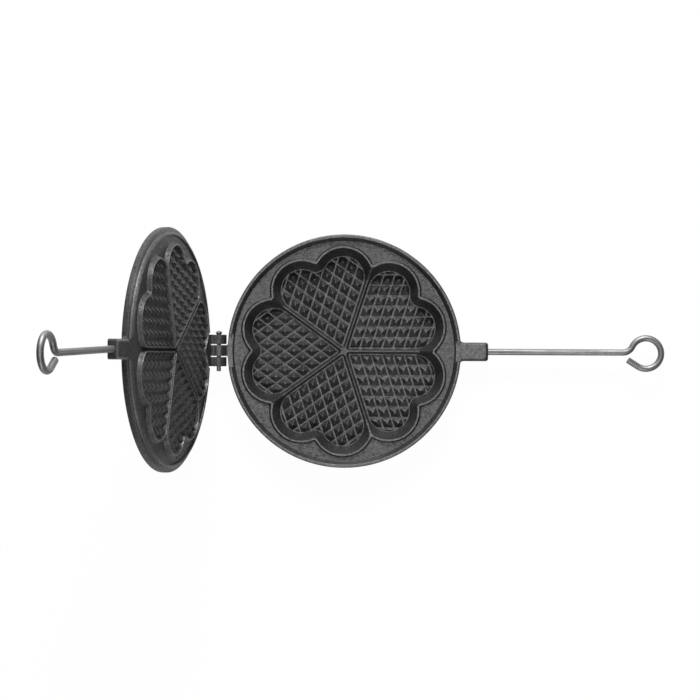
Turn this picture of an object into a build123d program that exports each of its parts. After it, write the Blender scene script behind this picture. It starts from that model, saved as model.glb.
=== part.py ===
from build123d import *
from math import acos, atan2, cos, degrees, hypot, radians, sin, sqrt, tan
import os

# A stovetop waffle iron for heart waffles: two hinged round cast plates, each with a wire handle.
# Lengths are millimetres and angles degrees. The origin is the centre of the lower plate's underside,
# +X runs from the hinge towards the lower handle and +Z is up. The lower plate lies flat, and the
# upper plate is drawn closed on it and then turned back about the hinge pin to where its stop holds it.

# ---- plan of both plates ----
plate_radius = 110.0
heart_count = 5
lobe_ring_radius = 70.0  # circle that carries the centres of all the heart lobes
lobe_half_angle = 17.0  # from a heart's axis to each of its two lobe centres

# ---- lower plate, from its underside up ----
floor_thickness = 4.5
pocket_depth = 14.4  # pocket floor to the crest of the bead round the flower
bead_height = 2.4  # bead crest above the overflow land
lip_height = 4.8  # rim lip above the overflow land
pocket_lobe_radius = 27.4  # at the bead crest
pocket_notch_radius = 3.0  # rounding between a heart's two lobes, at the bead crest
pocket_wall_run = 7.0  # how far the pocket wall leans in, from crest to floor
pocket_tip_round = 1.5  # rounding of a heart's point, at the floor
bead_width = 1.5
bead_foot_run = 0.7  # slope of the bead's outer side
bead_notch_round = 1.6  # outer rounding where a heart's own two lobes meet
bead_cusp_round = 2.0  # outer rounding where two hearts meet, at the end of a rib
rib_height = 4.0  # ribs between the hearts, above the pocket floor
rib_end_radius = 71.5  # where each rib starts to climb to the bead
rib_top_radius = 83.6  # where that climb meets the bead crest
base_radius = 94.0
base_round = 3.0
band_height = 13.5  # where the upright rim band starts
lip_width = 2.9
lip_draft_run = 3.2
lip_round = 1.2

# ---- pyramids in the pockets ----
row_pitch = 9.95
first_row = 3.1  # from a rib's centreline to the first valley of the lower plate
valley_width = 1.3
pyramid_top_width = 1.1
lower_pyramid_height = 3.8
upper_pyramid_height = 3.4
field_margin = 0.8  # flat strip between the lower pyramids and the pocket wall

# ---- upper plate ----
closing_gap = 0.3  # left between the two castings' facing surfaces when shut
flange_thickness = 5.7
tongue_radius = 105.3
tongue_draft_run = 1.1
tongue_top_width = 1.6
tongue_height = 1.4  # above the land that the heart bosses stand on
boss_height = 4.2
boss_lobe_radius = 26.9  # at the foot
boss_wall_run = 2.3
boss_notch_radius = 2.0
boss_side_half = 0.4  # half the gap between two bosses, at the foot
boss_side_run = 1.1
boss_corner_round = 8.0  # where a lobe runs into the straight side, at the rim
boss_lip_width = 1.1
recess_depth = 3.8
recess_draft_run = 0.6
back_ring_width = 13.0
back_dish_depth = 3.4
back_dish_run = 3.0
back_round = 1.5
edge_round = 0.4

# ---- hinge ----
hinge_reach = 118.4  # plate centre to hinge pin
hinge_drop = 7.4  # hinge pin below the upper plate's stepped rim
opening_angle = 104.9  # shut to the stop
knuckle_radius = 7.3
knuckle_width = 8.8  # of the two outer ones
middle_knuckle_width = 10.2
knuckle_gap = 1.0
pin_radius = 2.0
pin_clearance = 0.05
pin_head_radius = 3.2
pin_head_height = 1.7
pin_neck_height = 2.0
pin_tail = 4.7
web_drop = 5.5  # web of the middle knuckle, below and above the pin's axis
web_rise = 1.7
web_root_round = 2.0
stop_gap = 0.25
stop_start = 2.6  # stop nose of the middle knuckle, measured back from the pin's axis
stop_end = 12.0
stop_depth = 4.5
arm_grip = 4.0  # how far the hinge arms reach in over the rim

# ---- handle lugs and wire handles ----
lug_reach = 135.8  # plate centre to the end of a lug
lug_width = 17.6
lug_thickness = 10.3
lug_corner_round = 2.5
lug_root_round = 3.5
root_start_radius = 107.0  # lugs and web start here, inside the rim
seat_side_gap = 0.7  # flat seats in the lip, wider by this than the arms and the lug over them
wire_radius = 3.0
wire_depth_in_lug = 6.0  # wire axis, from the lug's parting face
upper_wire_lean = -0.8  # the upper wire stands a little askew in its lug: away from its parting face
upper_wire_skew = -1.6  # and towards +Y
socket_depth = 22.0
socket_clearance = 0.05
lower_eye_reach = 285.2  # plate centre to the centre of the eye
upper_eye_reach = 284.3
eye_radius = 14.4  # of the wire's centreline
lower_eye_offset = -0.8  # of the eye's centre from the wire's line
upper_eye_offset = 0.7
eye_bend_radius = 10.0
eye_end_angle = -122.5
eye_tip_length = 11.2
wire_end_chamfer = 0.4

# ---- worked out from the sizes above ----
crest_z = floor_thickness + pocket_depth
land_z = crest_z - bead_height
lip_z = land_z + lip_height
lip_foot_radius = plate_radius - lip_width - lip_draft_run
rib_z = floor_thickness + rib_height
face_z = crest_z + closing_gap
tongue_z = face_z - tongue_height
step_z = lip_z + closing_gap
back_z = step_z + flange_thickness
boss_z = face_z - boss_height
recess_z = boss_z + recess_depth
hinge_z = step_z - hinge_drop
hinge_x = -hinge_reach
knuckle_step = middle_knuckle_width / 2 + knuckle_gap + knuckle_width / 2
arm_half = knuckle_step + knuckle_width / 2
hinge_seat_half = arm_half + seat_side_gap
lug_seat_half = lug_width / 2 + seat_side_gap
edge_reach = hinge_reach - plate_radius  # hinge axis to either plate's rim
half_sector = 180 / heart_count
hinge_axis = Axis((hinge_x, 0, hinge_z), (0, 1, 0))
heart_axes = PolarLocations(0, heart_count, half_sector)
sink = 0.5  # how far a cutter reaches past what it cuts, and an added body into what carries it


def polar_point(centre, radius, angle):
    """The point at a radius and angle from a centre."""
    return centre[0] + radius * cos(radians(angle)), centre[1] + radius * sin(radians(angle))


def heart_face(z, lobe_radius, notch_radius, side_half=None, corner_round=0.0, tip_round=0.0):
    """One heart at height z, its point near the origin and its axis along +X.

    side_half is half the gap to the next heart; left out, the lobes run tangent into the straight sides.
    """
    lobe = polar_point((0, 0), lobe_ring_radius, lobe_half_angle)
    lobe_to_side = lobe_ring_radius * sin(radians(half_sector - lobe_half_angle))
    if side_half is None:
        side_half = lobe_to_side - lobe_radius
    notch_x = lobe[0] + sqrt((lobe_radius + notch_radius) ** 2 - lobe[1] ** 2)
    to_notch = degrees(atan2(-lobe[1], notch_x - lobe[0]))
    across = min(lobe_radius, lobe_to_side - side_half)
    to_side = half_sector + 90 - degrees(acos(across / lobe_radius))
    notch_end = polar_point(lobe, lobe_radius, to_notch)
    lobe_top = polar_point(lobe, lobe_radius, (to_notch + to_side) / 2)
    side_start = polar_point(lobe, lobe_radius, to_side)
    with BuildSketch(Plane.XY.offset(z)) as heart:
        with BuildLine():
            ThreePointArc((notch_end[0], -notch_end[1]), (notch_x - notch_radius, 0), notch_end)
            lobe_arc = ThreePointArc(notch_end, lobe_top, side_start)
            straight = Line(side_start, (side_half / sin(radians(half_sector)), 0))
            mirror([lobe_arc, straight], about=Plane.XZ)
        make_face()
        if corner_round:
            corners = heart.vertices().filter_by(
                lambda v: hypot(v.X - side_start[0], abs(v.Y) - side_start[1]) < 0.01
            )
            fillet(corners, corner_round)
        if tip_round:
            fillet(heart.vertices().sort_by(Axis.X)[0], tip_round)
    return heart.sketch


def flower_face(z, lobe_radius):
    """Outline round all the hearts at height z, rounded where the lobes meet."""
    with BuildSketch(Plane.XY.offset(z)) as flower:
        Circle(lobe_ring_radius)
        for side in (1, -1):
            with PolarLocations(lobe_ring_radius, heart_count, half_sector + side * lobe_half_angle):
                Circle(lobe_radius)
        dips = flower.vertices().filter_by(lambda v: hypot(v.X, v.Y) < lobe_ring_radius + 0.8 * lobe_radius)
        dips = dips.sort_by(lambda v: hypot(v.X, v.Y))  # the ends of the ribs come before the notches
        fillet(dips[:heart_count], bead_cusp_round)
        fillet(
            [flower.vertices().sort_by_distance((dip.X, dip.Y, dip.Z))[0] for dip in dips[heart_count:]],
            bead_notch_round,
        )
    return flower.sketch


def straight_solid(foot, rim):
    """The straight-walled body between two outlines."""
    with BuildPart() as body:
        loft([foot, rim], ruled=True)
    return body.part


def pyramid_rows(foot, crest, floor_z, rise, row_start):
    """A heart's pyramids: a raised field between two outlines, cut by valleys along both of its sides.

    rise is the pyramids' height, negative where they hang down, and row_start the first valley's place.
    """
    row_count = int((lobe_ring_radius + pocket_lobe_radius) / row_pitch)
    valley_top = row_pitch - pyramid_top_width
    with BuildPart() as rows:
        loft([foot, crest], ruled=True)
        for side in (1, -1):
            start = Plane(
                x_dir=(sin(radians(half_sector)), -side * cos(radians(half_sector)), 0),
                origin=(0, 0, floor_z),
                z_dir=(cos(radians(half_sector)), side * sin(radians(half_sector)), 0),
            )
            up = start.y_dir.Z * rise
            over = 1 + sink / abs(rise)
            top_half = (valley_width + (valley_top - valley_width) * over) / 2
            with BuildSketch(start) as valleys:
                for row in range(-1, row_count):
                    middle = row_start + row * row_pitch
                    with BuildLine():
                        Polyline(
                            (middle - valley_width / 2, 0),
                            (middle + valley_width / 2, 0),
                            (middle + top_half, up * over),
                            (middle - top_half, up * over),
                            close=True,
                        )
                    make_face()
            extrude(valleys.sketch, amount=plate_radius, both=True, mode=Mode.SUBTRACT)
    return rows.part


def pocket_cutter(foot, rim, rows):
    """What is taken out of a casting to leave one pocket with its pyramids standing."""
    with BuildPart() as cutter:
        loft([foot, rim], ruled=True)
        add(rows, mode=Mode.SUBTRACT)
    return cutter.part


def rim_strip(inner_radius, outer_radius, half_width, direction, z):
    """The part of a ring at height z that lies within half_width of the X axis, on the +X or -X side."""
    with BuildSketch(Plane.XY.offset(z)) as strip:
        Circle(outer_radius)
        Circle(inner_radius, mode=Mode.SUBTRACT)
        with Locations((direction * outer_radius / 2, 0)):
            Rectangle(outer_radius, 2 * half_width, mode=Mode.INTERSECT)
    return strip.sketch


def lug_plan(z):
    """Outline of a handle lug at height z."""
    with BuildSketch(Plane.XY.offset(z)) as plan:
        with Locations(((lug_reach + root_start_radius) / 2, 0)):
            Rectangle(lug_reach - root_start_radius, lug_width)
        fillet(plan.vertices().group_by(Axis.X)[-1], lug_corner_round)
    return plan.sketch


def root_plan(z, width, direction, root_round):
    """Outline at height z of the flared root where a lug or web grows out of the rim."""
    with BuildSketch(Plane.XY.offset(z)) as plan:
        Circle(plate_radius - 0.1)
        with Locations((direction * lug_reach / 2, 0)):
            Rectangle(lug_reach, width)
        fillet(plan.vertices().filter_by(lambda v: 0 < direction * v.X < plate_radius), root_round)
        reach = plate_radius + root_round
        with Locations((direction * (root_start_radius + reach) / 2, 0)):
            Rectangle(reach - root_start_radius, width + 4 * root_round, mode=Mode.INTERSECT)
    return plan.sketch


def wire_plane(wire_z, lean=0.0, skew=0.0):
    """Plane of a wire handle: its origin is on the lug's end face, its X axis runs out along the wire."""
    flat = cos(radians(skew))
    out = (flat * cos(radians(lean)), sin(radians(skew)), flat * sin(radians(lean)))
    up = (-sin(radians(lean)), 0, cos(radians(lean)))
    return Plane(origin=(lug_reach, 0, wire_z), x_dir=out, z_dir=up)


def wire_handle(plane, eye_reach, eye_offset):
    """A round bar that runs straight out of its lug and is bent into an eye."""
    eye = (eye_reach - lug_reach, eye_offset)
    rise = eye_bend_radius - eye_offset
    run = sqrt((eye_radius + eye_bend_radius) ** 2 - rise**2)
    bend = (eye[0] - run, eye_bend_radius)
    turn = degrees(atan2(-rise, run))  # from the bend's centre towards the eye's
    join = polar_point(bend, eye_bend_radius, turn)
    eye_end = polar_point(eye, eye_radius, eye_end_angle)
    with BuildPart() as wire:
        with BuildLine(plane) as path:
            Line((-socket_depth + socket_clearance, 0), (bend[0], 0))
            ThreePointArc((bend[0], 0), polar_point(bend, eye_bend_radius, (turn - 90) / 2), join)
            ThreePointArc(join, polar_point(eye, eye_radius, (turn + 180 + eye_end_angle) / 2), eye_end)
            Line(eye_end, polar_point(eye_end, eye_tip_length, eye_end_angle - 90))
        with BuildSketch(Plane(origin=path.line @ 0, z_dir=path.line % 0)):
            Circle(wire_radius)
        sweep()
        ends = wire.faces().filter_by(GeomType.PLANE)
        chamfer(ends.edges(), wire_end_chamfer)
    return wire.part


def wire_socket(plane):
    """The blind hole that a wire handle sits in."""
    with BuildPart() as hole:
        with BuildSketch(Plane(origin=plane.origin + plane.x_dir, z_dir=-plane.x_dir)):
            Circle(wire_radius + socket_clearance)
        extrude(amount=socket_depth + 1)
    return hole.part


def opened(piece):
    """A piece of the upper plate, turned from shut to its resting place on the stop."""
    return piece.rotate(hinge_axis, -opening_angle)


# ---- lower plate ----
floor_lobe = pocket_lobe_radius - pocket_wall_run
floor_notch = pocket_notch_radius + pocket_wall_run
over_run = pocket_wall_run / pocket_depth * sink  # the pocket cutters reach sink above the crest
rib_ramp = (rib_top_radius - rib_end_radius) / (crest_z - rib_z)
lower_slope = (row_pitch - valley_width - pyramid_top_width) / 2 / lower_pyramid_height
field_foot = floor_lobe - field_margin + lower_slope * sink
field_crest = floor_lobe - field_margin - lower_slope * lower_pyramid_height
hollow = pocket_cutter(
    heart_face(floor_thickness, floor_lobe, floor_notch, tip_round=pocket_tip_round),
    heart_face(
        crest_z + sink,
        pocket_lobe_radius + over_run,
        pocket_notch_radius - over_run,
        tip_round=pocket_tip_round + pocket_wall_run + over_run,
    ),
    pyramid_rows(
        heart_face(floor_thickness - sink, field_foot, floor_notch + floor_lobe - field_foot),
        heart_face(
            floor_thickness + lower_pyramid_height, field_crest, floor_notch + floor_lobe - field_crest
        ),
        floor_thickness,
        lower_pyramid_height,
        first_row,
    ),
)
plinth = straight_solid(
    flower_face(land_z - sink, pocket_lobe_radius + bead_width + bead_foot_run),
    flower_face(crest_z, pocket_lobe_radius + bead_width),
)
wire = wire_plane(crest_z - wire_depth_in_lug)

with BuildPart() as lower_plate:
    # outer shape, with the lug and the web of the hinge growing out of it
    with BuildSketch(Plane.XZ):
        with BuildLine():
            FilletPolyline(
                (0, 0),
                (base_radius, 0),
                (plate_radius, band_height),
                (plate_radius, lip_z),
                (plate_radius - lip_width, lip_z),
                (lip_foot_radius, land_z),
                (0, land_z),
                radius=[base_round, base_round, lip_round, lip_round / 3, lip_round / 2],
            )
            Line((0, land_z), (0, 0))
        make_face()
    revolve(axis=Axis.Z)
    extrude(lug_plan(crest_z), amount=-lug_thickness)
    with BuildSketch(Plane.XY.offset(hinge_z - web_drop)):
        with Locations((-(hinge_reach + root_start_radius) / 2, 0)):
            Rectangle(hinge_reach - root_start_radius, middle_knuckle_width)
    extrude(amount=web_drop + web_rise)
    extrude(root_plan(crest_z, lug_width, 1, lug_root_round), amount=band_height - crest_z)
    extrude(root_plan(hinge_z + web_rise, middle_knuckle_width, -1, web_root_round), amount=-web_rise)
    # hearts
    add(plinth)
    with BuildSketch(Plane.XZ):
        with BuildLine():
            Polyline(
                (0, rib_z),
                (rib_end_radius, rib_z),
                (rib_top_radius + rib_ramp * sink, crest_z + sink),
                (0, crest_z + sink),
                close=True,
            )
        make_face()
    revolve(axis=Axis.Z, mode=Mode.SUBTRACT)
    # flat seats where the lip is cut down, under the hinge arms and at the lug
    for side, half in ((-1, hinge_seat_half), (1, lug_seat_half)):
        extrude(
            rim_strip(lip_foot_radius - sink, plate_radius + sink, half, side, crest_z),
            amount=lip_height,
            mode=Mode.SUBTRACT,
        )
    # middle knuckle and its stop nose, drawn on the opened plate's own axes
    open_x = Vector(cos(radians(opening_angle)), 0, sin(radians(opening_angle)))
    nose_top = edge_reach - stop_gap
    with BuildSketch(Plane(origin=(hinge_x, 0, hinge_z), x_dir=open_x, z_dir=(0, -1, 0))):
        Circle(knuckle_radius)
        with BuildLine():
            Polyline(
                (nose_top, stop_start),
                (nose_top, stop_end),
                (nose_top - stop_depth, stop_end),
                polar_point((0, 0), knuckle_radius, 120),
                (0, 0),
                close=True,
            )
        make_face()
    extrude(amount=middle_knuckle_width / 2, both=True)
    with BuildSketch(Plane(origin=(hinge_x, 0, hinge_z), z_dir=(0, 1, 0))):
        Circle(pin_radius + pin_clearance)
    extrude(amount=middle_knuckle_width, both=True, mode=Mode.SUBTRACT)
    add(wire_socket(wire), mode=Mode.SUBTRACT)
    with heart_axes:
        add(hollow, mode=Mode.SUBTRACT)
lower_plate.part.label = "lower_plate"

with BuildPart() as lower_handle:
    add(wire_handle(wire, lower_eye_reach, lower_eye_offset))
lower_handle.part.label = "lower_handle"

# ---- upper plate, drawn shut ----
rim_lobe = boss_lobe_radius - boss_wall_run
rim_notch = boss_notch_radius + boss_wall_run
rim_side = boss_side_half + boss_side_run
floor_inset = boss_lip_width + recess_draft_run
mouth_inset = boss_lip_width - recess_draft_run / recess_depth * sink
boss = straight_solid(
    heart_face(
        face_z + sink, boss_lobe_radius, boss_notch_radius, boss_side_half,
        boss_corner_round + boss_wall_run,
    ),
    heart_face(boss_z, rim_lobe, rim_notch, rim_side, boss_corner_round),
)
recess = pocket_cutter(
    heart_face(
        recess_z, rim_lobe - floor_inset, rim_notch + floor_inset, rim_side + floor_inset,
        boss_corner_round - floor_inset,
    ),
    heart_face(
        boss_z - sink, rim_lobe - mouth_inset, rim_notch + mouth_inset, rim_side + mouth_inset,
        boss_corner_round - mouth_inset,
    ),
    pyramid_rows(
        heart_face(recess_z + sink, rim_lobe, rim_notch, rim_side),
        heart_face(recess_z - upper_pyramid_height, rim_lobe, rim_notch, rim_side),
        recess_z,
        -upper_pyramid_height,
        first_row + row_pitch / 2,
    ),
)
tongue_crest = tongue_radius - tongue_draft_run
tongue_foot = tongue_crest - tongue_top_width - tongue_draft_run / 2
wire = wire_plane(face_z + wire_depth_in_lug, upper_wire_lean, upper_wire_skew)

with BuildPart() as upper_closed:
    with BuildSketch(Plane.XZ):
        with BuildLine():
            FilletPolyline(
                (0, back_z - back_dish_depth),
                (plate_radius - back_ring_width - back_dish_run, back_z - back_dish_depth),
                (plate_radius - back_ring_width, back_z),
                (plate_radius, back_z),
                (plate_radius, face_z),
                (tongue_radius, face_z),
                (tongue_crest, tongue_z),
                (tongue_crest - tongue_top_width, tongue_z),
                (tongue_foot, face_z),
                (0, face_z),
                radius=[back_round] * 3 + [edge_round] * 5,
            )
            Line((0, face_z), (0, back_z - back_dish_depth))
        make_face()
    revolve(axis=Axis.Z)
    # rim cut back over the lower plate's lip, except where that plate has its flat seats
    with BuildSketch(Plane.XY.offset(face_z - sink)):
        Circle(plate_radius + sink)
        Circle(tongue_radius, mode=Mode.SUBTRACT)
        with Locations((-plate_radius, 0)):
            Rectangle(plate_radius, 2 * arm_half, mode=Mode.SUBTRACT)
        with Locations((plate_radius, 0)):
            Rectangle(plate_radius, lug_width, mode=Mode.SUBTRACT)
    extrude(amount=step_z - face_z + sink, mode=Mode.SUBTRACT)
    for side, half in ((-1, hinge_seat_half), (1, lug_seat_half)):
        extrude(
            rim_strip(tongue_foot - sink, plate_radius, half + seat_side_gap, side, face_z),
            amount=-tongue_height - sink,
            mode=Mode.SUBTRACT,
        )
    extrude(lug_plan(face_z), amount=lug_thickness)
    extrude(root_plan(step_z, lug_width, 1, lug_root_round), amount=flange_thickness - back_round)
    with heart_axes:
        add(boss)
    # outer knuckles, with arms that run up to the flange's back, tangent to the barrels
    arm_back = (back_z - hinge_z) * tan(radians(30)) - knuckle_radius / cos(radians(30))
    for side in (1, -1):
        middle = (hinge_x, side * knuckle_step, hinge_z)
        with BuildSketch(Plane(origin=middle, x_dir=(1, 0, 0), z_dir=(0, -1, 0))):
            Circle(knuckle_radius)
            with BuildLine():
                Polyline(
                    (0, 0),
                    (knuckle_radius, 0),
                    (knuckle_radius, face_z - hinge_z),
                    (edge_reach + arm_grip, face_z - hinge_z),
                    (edge_reach + arm_grip, back_z - hinge_z),
                    (arm_back, back_z - hinge_z),
                    polar_point((0, 0), knuckle_radius, 150),
                    close=True,
                )
            make_face()
        extrude(amount=knuckle_width / 2, both=True)
    with BuildSketch(Plane(origin=(hinge_x, 0, hinge_z), z_dir=(0, 1, 0))):
        Circle(pin_radius + pin_clearance)
    extrude(amount=2 * knuckle_step, both=True, mode=Mode.SUBTRACT)
    add(wire_socket(wire), mode=Mode.SUBTRACT)
    with heart_axes:
        add(recess, mode=Mode.SUBTRACT)

# ---- hinge pin, along the hinge axis ----
pin_end = -arm_half - pin_tail
pin_head_base = arm_half + pin_neck_height
pin_head_top = pin_head_base + pin_head_height
dome_radius = (pin_head_radius**2 + pin_head_height**2) / (2 * pin_head_height)
dome_start = degrees(acos(pin_head_radius / dome_radius))
with BuildPart() as pin_closed:
    with BuildSketch(Plane(origin=(hinge_x, 0, hinge_z), x_dir=(1, 0, 0), z_dir=(0, 0, 1))):
        with BuildLine():
            FilletPolyline(
                (0, pin_end),
                (pin_radius, pin_end),
                (pin_radius, arm_half),
                (pin_head_radius, pin_head_base),
                radius=edge_round,
            )
            ThreePointArc(
                (pin_head_radius, pin_head_base),
                polar_point((0, pin_head_top - dome_radius), dome_radius, (90 + dome_start) / 2),
                (0, pin_head_top),
            )
            Line((0, pin_head_top), (0, pin_end))
        make_face()
    revolve(axis=hinge_axis)

# ---- the upper plate and what goes with it, turned back to rest ----
with BuildPart() as upper_plate:
    add(opened(upper_closed.part))
upper_plate.part.label = "upper_plate"

with BuildPart() as hinge_pin:
    add(opened(pin_closed.part))
hinge_pin.part.label = "hinge_pin"

with BuildPart() as upper_handle:
    add(opened(wire_handle(wire, upper_eye_reach, upper_eye_offset)))
upper_handle.part.label = "upper_handle"

os.makedirs("parts", exist_ok=True)
export_step(lower_plate.part, "parts/lower_plate.step")
export_step(lower_handle.part, "parts/lower_handle.step")
export_step(upper_plate.part, "parts/upper_plate.step")
export_step(upper_handle.part, "parts/upper_handle.step")
export_step(hinge_pin.part, "parts/hinge_pin.step")
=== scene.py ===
"""Looks of a stovetop waffle iron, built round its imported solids.

Sizes in the classes are millimetres in the part's own frame: the origin is the centre of the lower
plate's underside, +X runs towards the lower handle and +Z is up. The upper plate is drawn shut and then
turned back about the hinge, as the real casting is. Meshes are written in metres.
"""

from __future__ import annotations

import logging
import math
from dataclasses import dataclass, field
from enum import Enum
from typing import Optional, Sequence, Union

import bmesh
import bpy
from mathutils import Matrix, Vector

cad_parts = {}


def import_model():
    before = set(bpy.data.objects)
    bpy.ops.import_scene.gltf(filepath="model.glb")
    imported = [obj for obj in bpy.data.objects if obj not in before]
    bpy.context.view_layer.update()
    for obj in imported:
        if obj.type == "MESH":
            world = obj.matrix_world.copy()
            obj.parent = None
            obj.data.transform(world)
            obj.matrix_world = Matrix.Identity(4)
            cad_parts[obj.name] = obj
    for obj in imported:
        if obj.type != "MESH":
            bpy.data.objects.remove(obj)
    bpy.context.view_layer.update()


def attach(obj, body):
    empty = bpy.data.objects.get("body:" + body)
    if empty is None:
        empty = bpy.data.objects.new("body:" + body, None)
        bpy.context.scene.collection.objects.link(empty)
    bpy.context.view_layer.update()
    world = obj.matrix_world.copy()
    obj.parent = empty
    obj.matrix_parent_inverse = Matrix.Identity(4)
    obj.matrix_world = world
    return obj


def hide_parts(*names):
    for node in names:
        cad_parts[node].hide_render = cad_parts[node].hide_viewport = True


LOG = logging.getLogger("waffle_iron")
MM = 0.001
SKIP = 0.02  # millimetres between faces that a boolean would otherwise find in one plane
KEEN = 0.001  # the rounding of a corner that stays sharp
Point2 = tuple[float, float]
Point3 = tuple[float, float, float]
Colour = tuple[float, float, float]
Stops = tuple[tuple[float, float], ...]


class Body(Enum):
    """The rigid bodies of the record."""

    LOWER = "lower"
    UPPER = "upper"


class Slot(Enum):
    """The record's material slots."""

    CAST_IRON = "cast_iron"
    HANDLE_STEEL = "handle_steel"
    PIN_STEEL = "pin_steel"


class Join(Enum):
    """What a boolean does with its tool."""

    ADD = "UNION"
    CUT = "DIFFERENCE"


# ---------------------------------------------------------------- node trees


class Tree:
    """A node tree that is filled by one method."""

    def __init__(self, tree: bpy.types.NodeTree) -> None:
        """Takes over a tree.

        Args:
            tree: The shader or geometry tree to fill.
        """
        self.tree = tree

    def node(
        self,
        kind: str,
        inputs: Optional[dict[Union[str, int], object]] = None,
        stops: Sequence[tuple[float, float]] = (),
        **settings: object,
    ) -> bpy.types.Node:
        """Adds a node, sets it up and then feeds its sockets.

        Args:
            kind: The node's type, such as "ShaderNodeBump".
            inputs: Socket name or number to a value, a socket, a Sock, or a list of them.
            stops: A ramp's grey stops as (place, grey).
            settings: The node's own settings, such as operation.

        Returns:
            The new node.
        """
        node = self.tree.nodes.new(kind)
        for name, value in settings.items():
            setattr(node, name, value)
        if stops:
            ramp = node.color_ramp
            while len(ramp.elements) < len(stops):
                ramp.elements.new(1.0)
            for element, (place, grey) in zip(ramp.elements, stops):
                element.position = place
                element.color = (grey, grey, grey, 1.0)
        for key, value in (inputs or {}).items():
            for each in value if isinstance(value, list) else [value]:
                if isinstance(each, Sock):
                    self.tree.links.new(each.socket, node.inputs[key])
                elif isinstance(each, bpy.types.NodeSocket):
                    self.tree.links.new(each, node.inputs[key])
                else:
                    node.inputs[key].default_value = each
        return node


class Sock:
    """A number socket whose maths is written as a Python expression."""

    def __init__(self, owner: Tree, socket: bpy.types.NodeSocket) -> None:
        """Wraps a socket.

        Args:
            owner: The tree that new Math nodes go into.
            socket: The output socket that carries the number.
        """
        self.owner = owner
        self.socket = socket

    def _math(self, operation: str, first: object, second: object = 0.0) -> Sock:
        """Adds one Math node.

        Args:
            operation: The node's operation.
            first: A number or a Sock.
            second: A number or a Sock.

        Returns:
            The result's socket.
        """
        node = self.owner.node("ShaderNodeMath", {0: first, 1: second}, operation=operation)
        return Sock(self.owner, node.outputs[0])

    def __add__(self, other: object) -> Sock:
        """The sum."""
        return self._math("ADD", self, other)

    __radd__ = __add__

    def __sub__(self, other: object) -> Sock:
        """The difference."""
        return self._math("SUBTRACT", self, other)

    def __rsub__(self, other: object) -> Sock:
        """The difference from a number."""
        return self._math("SUBTRACT", other, self)

    def __mul__(self, other: object) -> Sock:
        """The product."""
        return self._math("MULTIPLY", self, other)

    __rmul__ = __mul__

    def __truediv__(self, other: object) -> Sock:
        """The quotient."""
        return self._math("DIVIDE", self, other)

    def __mod__(self, other: object) -> Sock:
        """What is left of a division."""
        return self._math("MODULO", self, other)

    def whole(self) -> Sock:
        """The next whole number below."""
        return self._math("FLOOR", self)

    def above(self, other: object) -> Sock:
        """1 where this is greater, else 0."""
        return self._math("GREATER_THAN", self, other)

    def size(self) -> Sock:
        """The number without its sign."""
        return self._math("ABSOLUTE", self)

    def clipped(self) -> Sock:
        """The number held between 0 and 1."""
        return self._math("MINIMUM", self._math("MAXIMUM", self, 0.0), 1.0)


class GeometryTree(Tree):
    """A Geometry Nodes tree with named inputs."""

    KINDS = {float: "NodeSocketFloat", int: "NodeSocketInt", bpy.types.Object: "NodeSocketObject"}

    def __init__(self, name: str, inputs: dict[str, type]) -> None:
        """Makes an empty tree.

        Args:
            name: The tree's name.
            inputs: Each input's name and its type.
        """
        group = bpy.data.node_groups.new(name, "GeometryNodeTree")
        super().__init__(group)
        group.interface.new_socket("Geometry", in_out="INPUT", socket_type="NodeSocketGeometry")
        group.interface.new_socket("Geometry", in_out="OUTPUT", socket_type="NodeSocketGeometry")
        for label, kind in inputs.items():
            group.interface.new_socket(label, in_out="INPUT", socket_type=self.KINDS[kind])
        group.interface.new_socket("Material", in_out="INPUT", socket_type="NodeSocketMaterial")
        self.entry = self.node("NodeGroupInput")

    def value(self, label: str) -> Sock:
        """A named number input, ready for maths."""
        return Sock(self, self.entry.outputs[label])

    def around(
        self, geometry: bpy.types.NodeSocket, count: object, first: float
    ) -> bpy.types.NodeSocket:
        """Copies geometry evenly round the Z axis.

        Args:
            geometry: What is copied.
            count: How many copies, a number or a Sock.
            first: The first copy's angle in degrees.

        Returns:
            The realized copies.
        """
        points = self.node("GeometryNodePoints", {"Count": count})
        index = Sock(self, self.node("GeometryNodeInputIndex").outputs[0])
        angle = index * (2 * math.pi) / count + math.radians(first)
        turn = self.node("ShaderNodeCombineXYZ", {"Z": angle})
        spread = self.node(
            "GeometryNodeInstanceOnPoints",
            {"Points": points.outputs[0], "Instance": geometry, "Rotation": turn.outputs[0]},
        )
        return self.node("GeometryNodeRealizeInstances", {0: spread.outputs[0]}).outputs[0]

    def close(self, geometry: bpy.types.NodeSocket) -> None:
        """Ends the tree in Realize Instances and Set Material.

        Args:
            geometry: What the tree has made.
        """
        whole = self.node("GeometryNodeRealizeInstances", {0: geometry})
        dressed = self.node(
            "GeometryNodeSetMaterial",
            {"Geometry": whole.outputs[0], "Material": self.entry.outputs["Material"]},
        )
        self.node("NodeGroupOutput", {0: dressed.outputs[0]})

    def bake(
        self, source: bpy.types.ID, values: dict[str, object], material: bpy.types.Material
    ) -> bpy.types.Mesh:
        """Runs the tree on a mesh or curve and keeps the result.

        Args:
            source: The mesh or curve data that enters the tree.
            values: Each named input's value.
            material: What Set Material gives.

        Returns:
            A plain mesh.
        """
        carrier = linked(source.name, source)
        modifier = carrier.modifiers.new(self.tree.name, "NODES")
        modifier.node_group = self.tree
        for item in self.tree.interface.items_tree:
            if item.in_out == "INPUT" and item.name in values:
                modifier[item.identifier] = values[item.name]
            elif item.in_out == "INPUT" and item.name == "Material":
                modifier[item.identifier] = material
        return evaluated(carrier)


def linked(name: str, data: bpy.types.ID) -> bpy.types.Object:
    """Puts a mesh, curve, camera or lamp into the scene.

    Args:
        name: The object's name.
        data: What it holds.

    Returns:
        The object.
    """
    holder = bpy.data.objects.new(name, data)
    bpy.context.scene.collection.objects.link(holder)
    return holder


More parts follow.
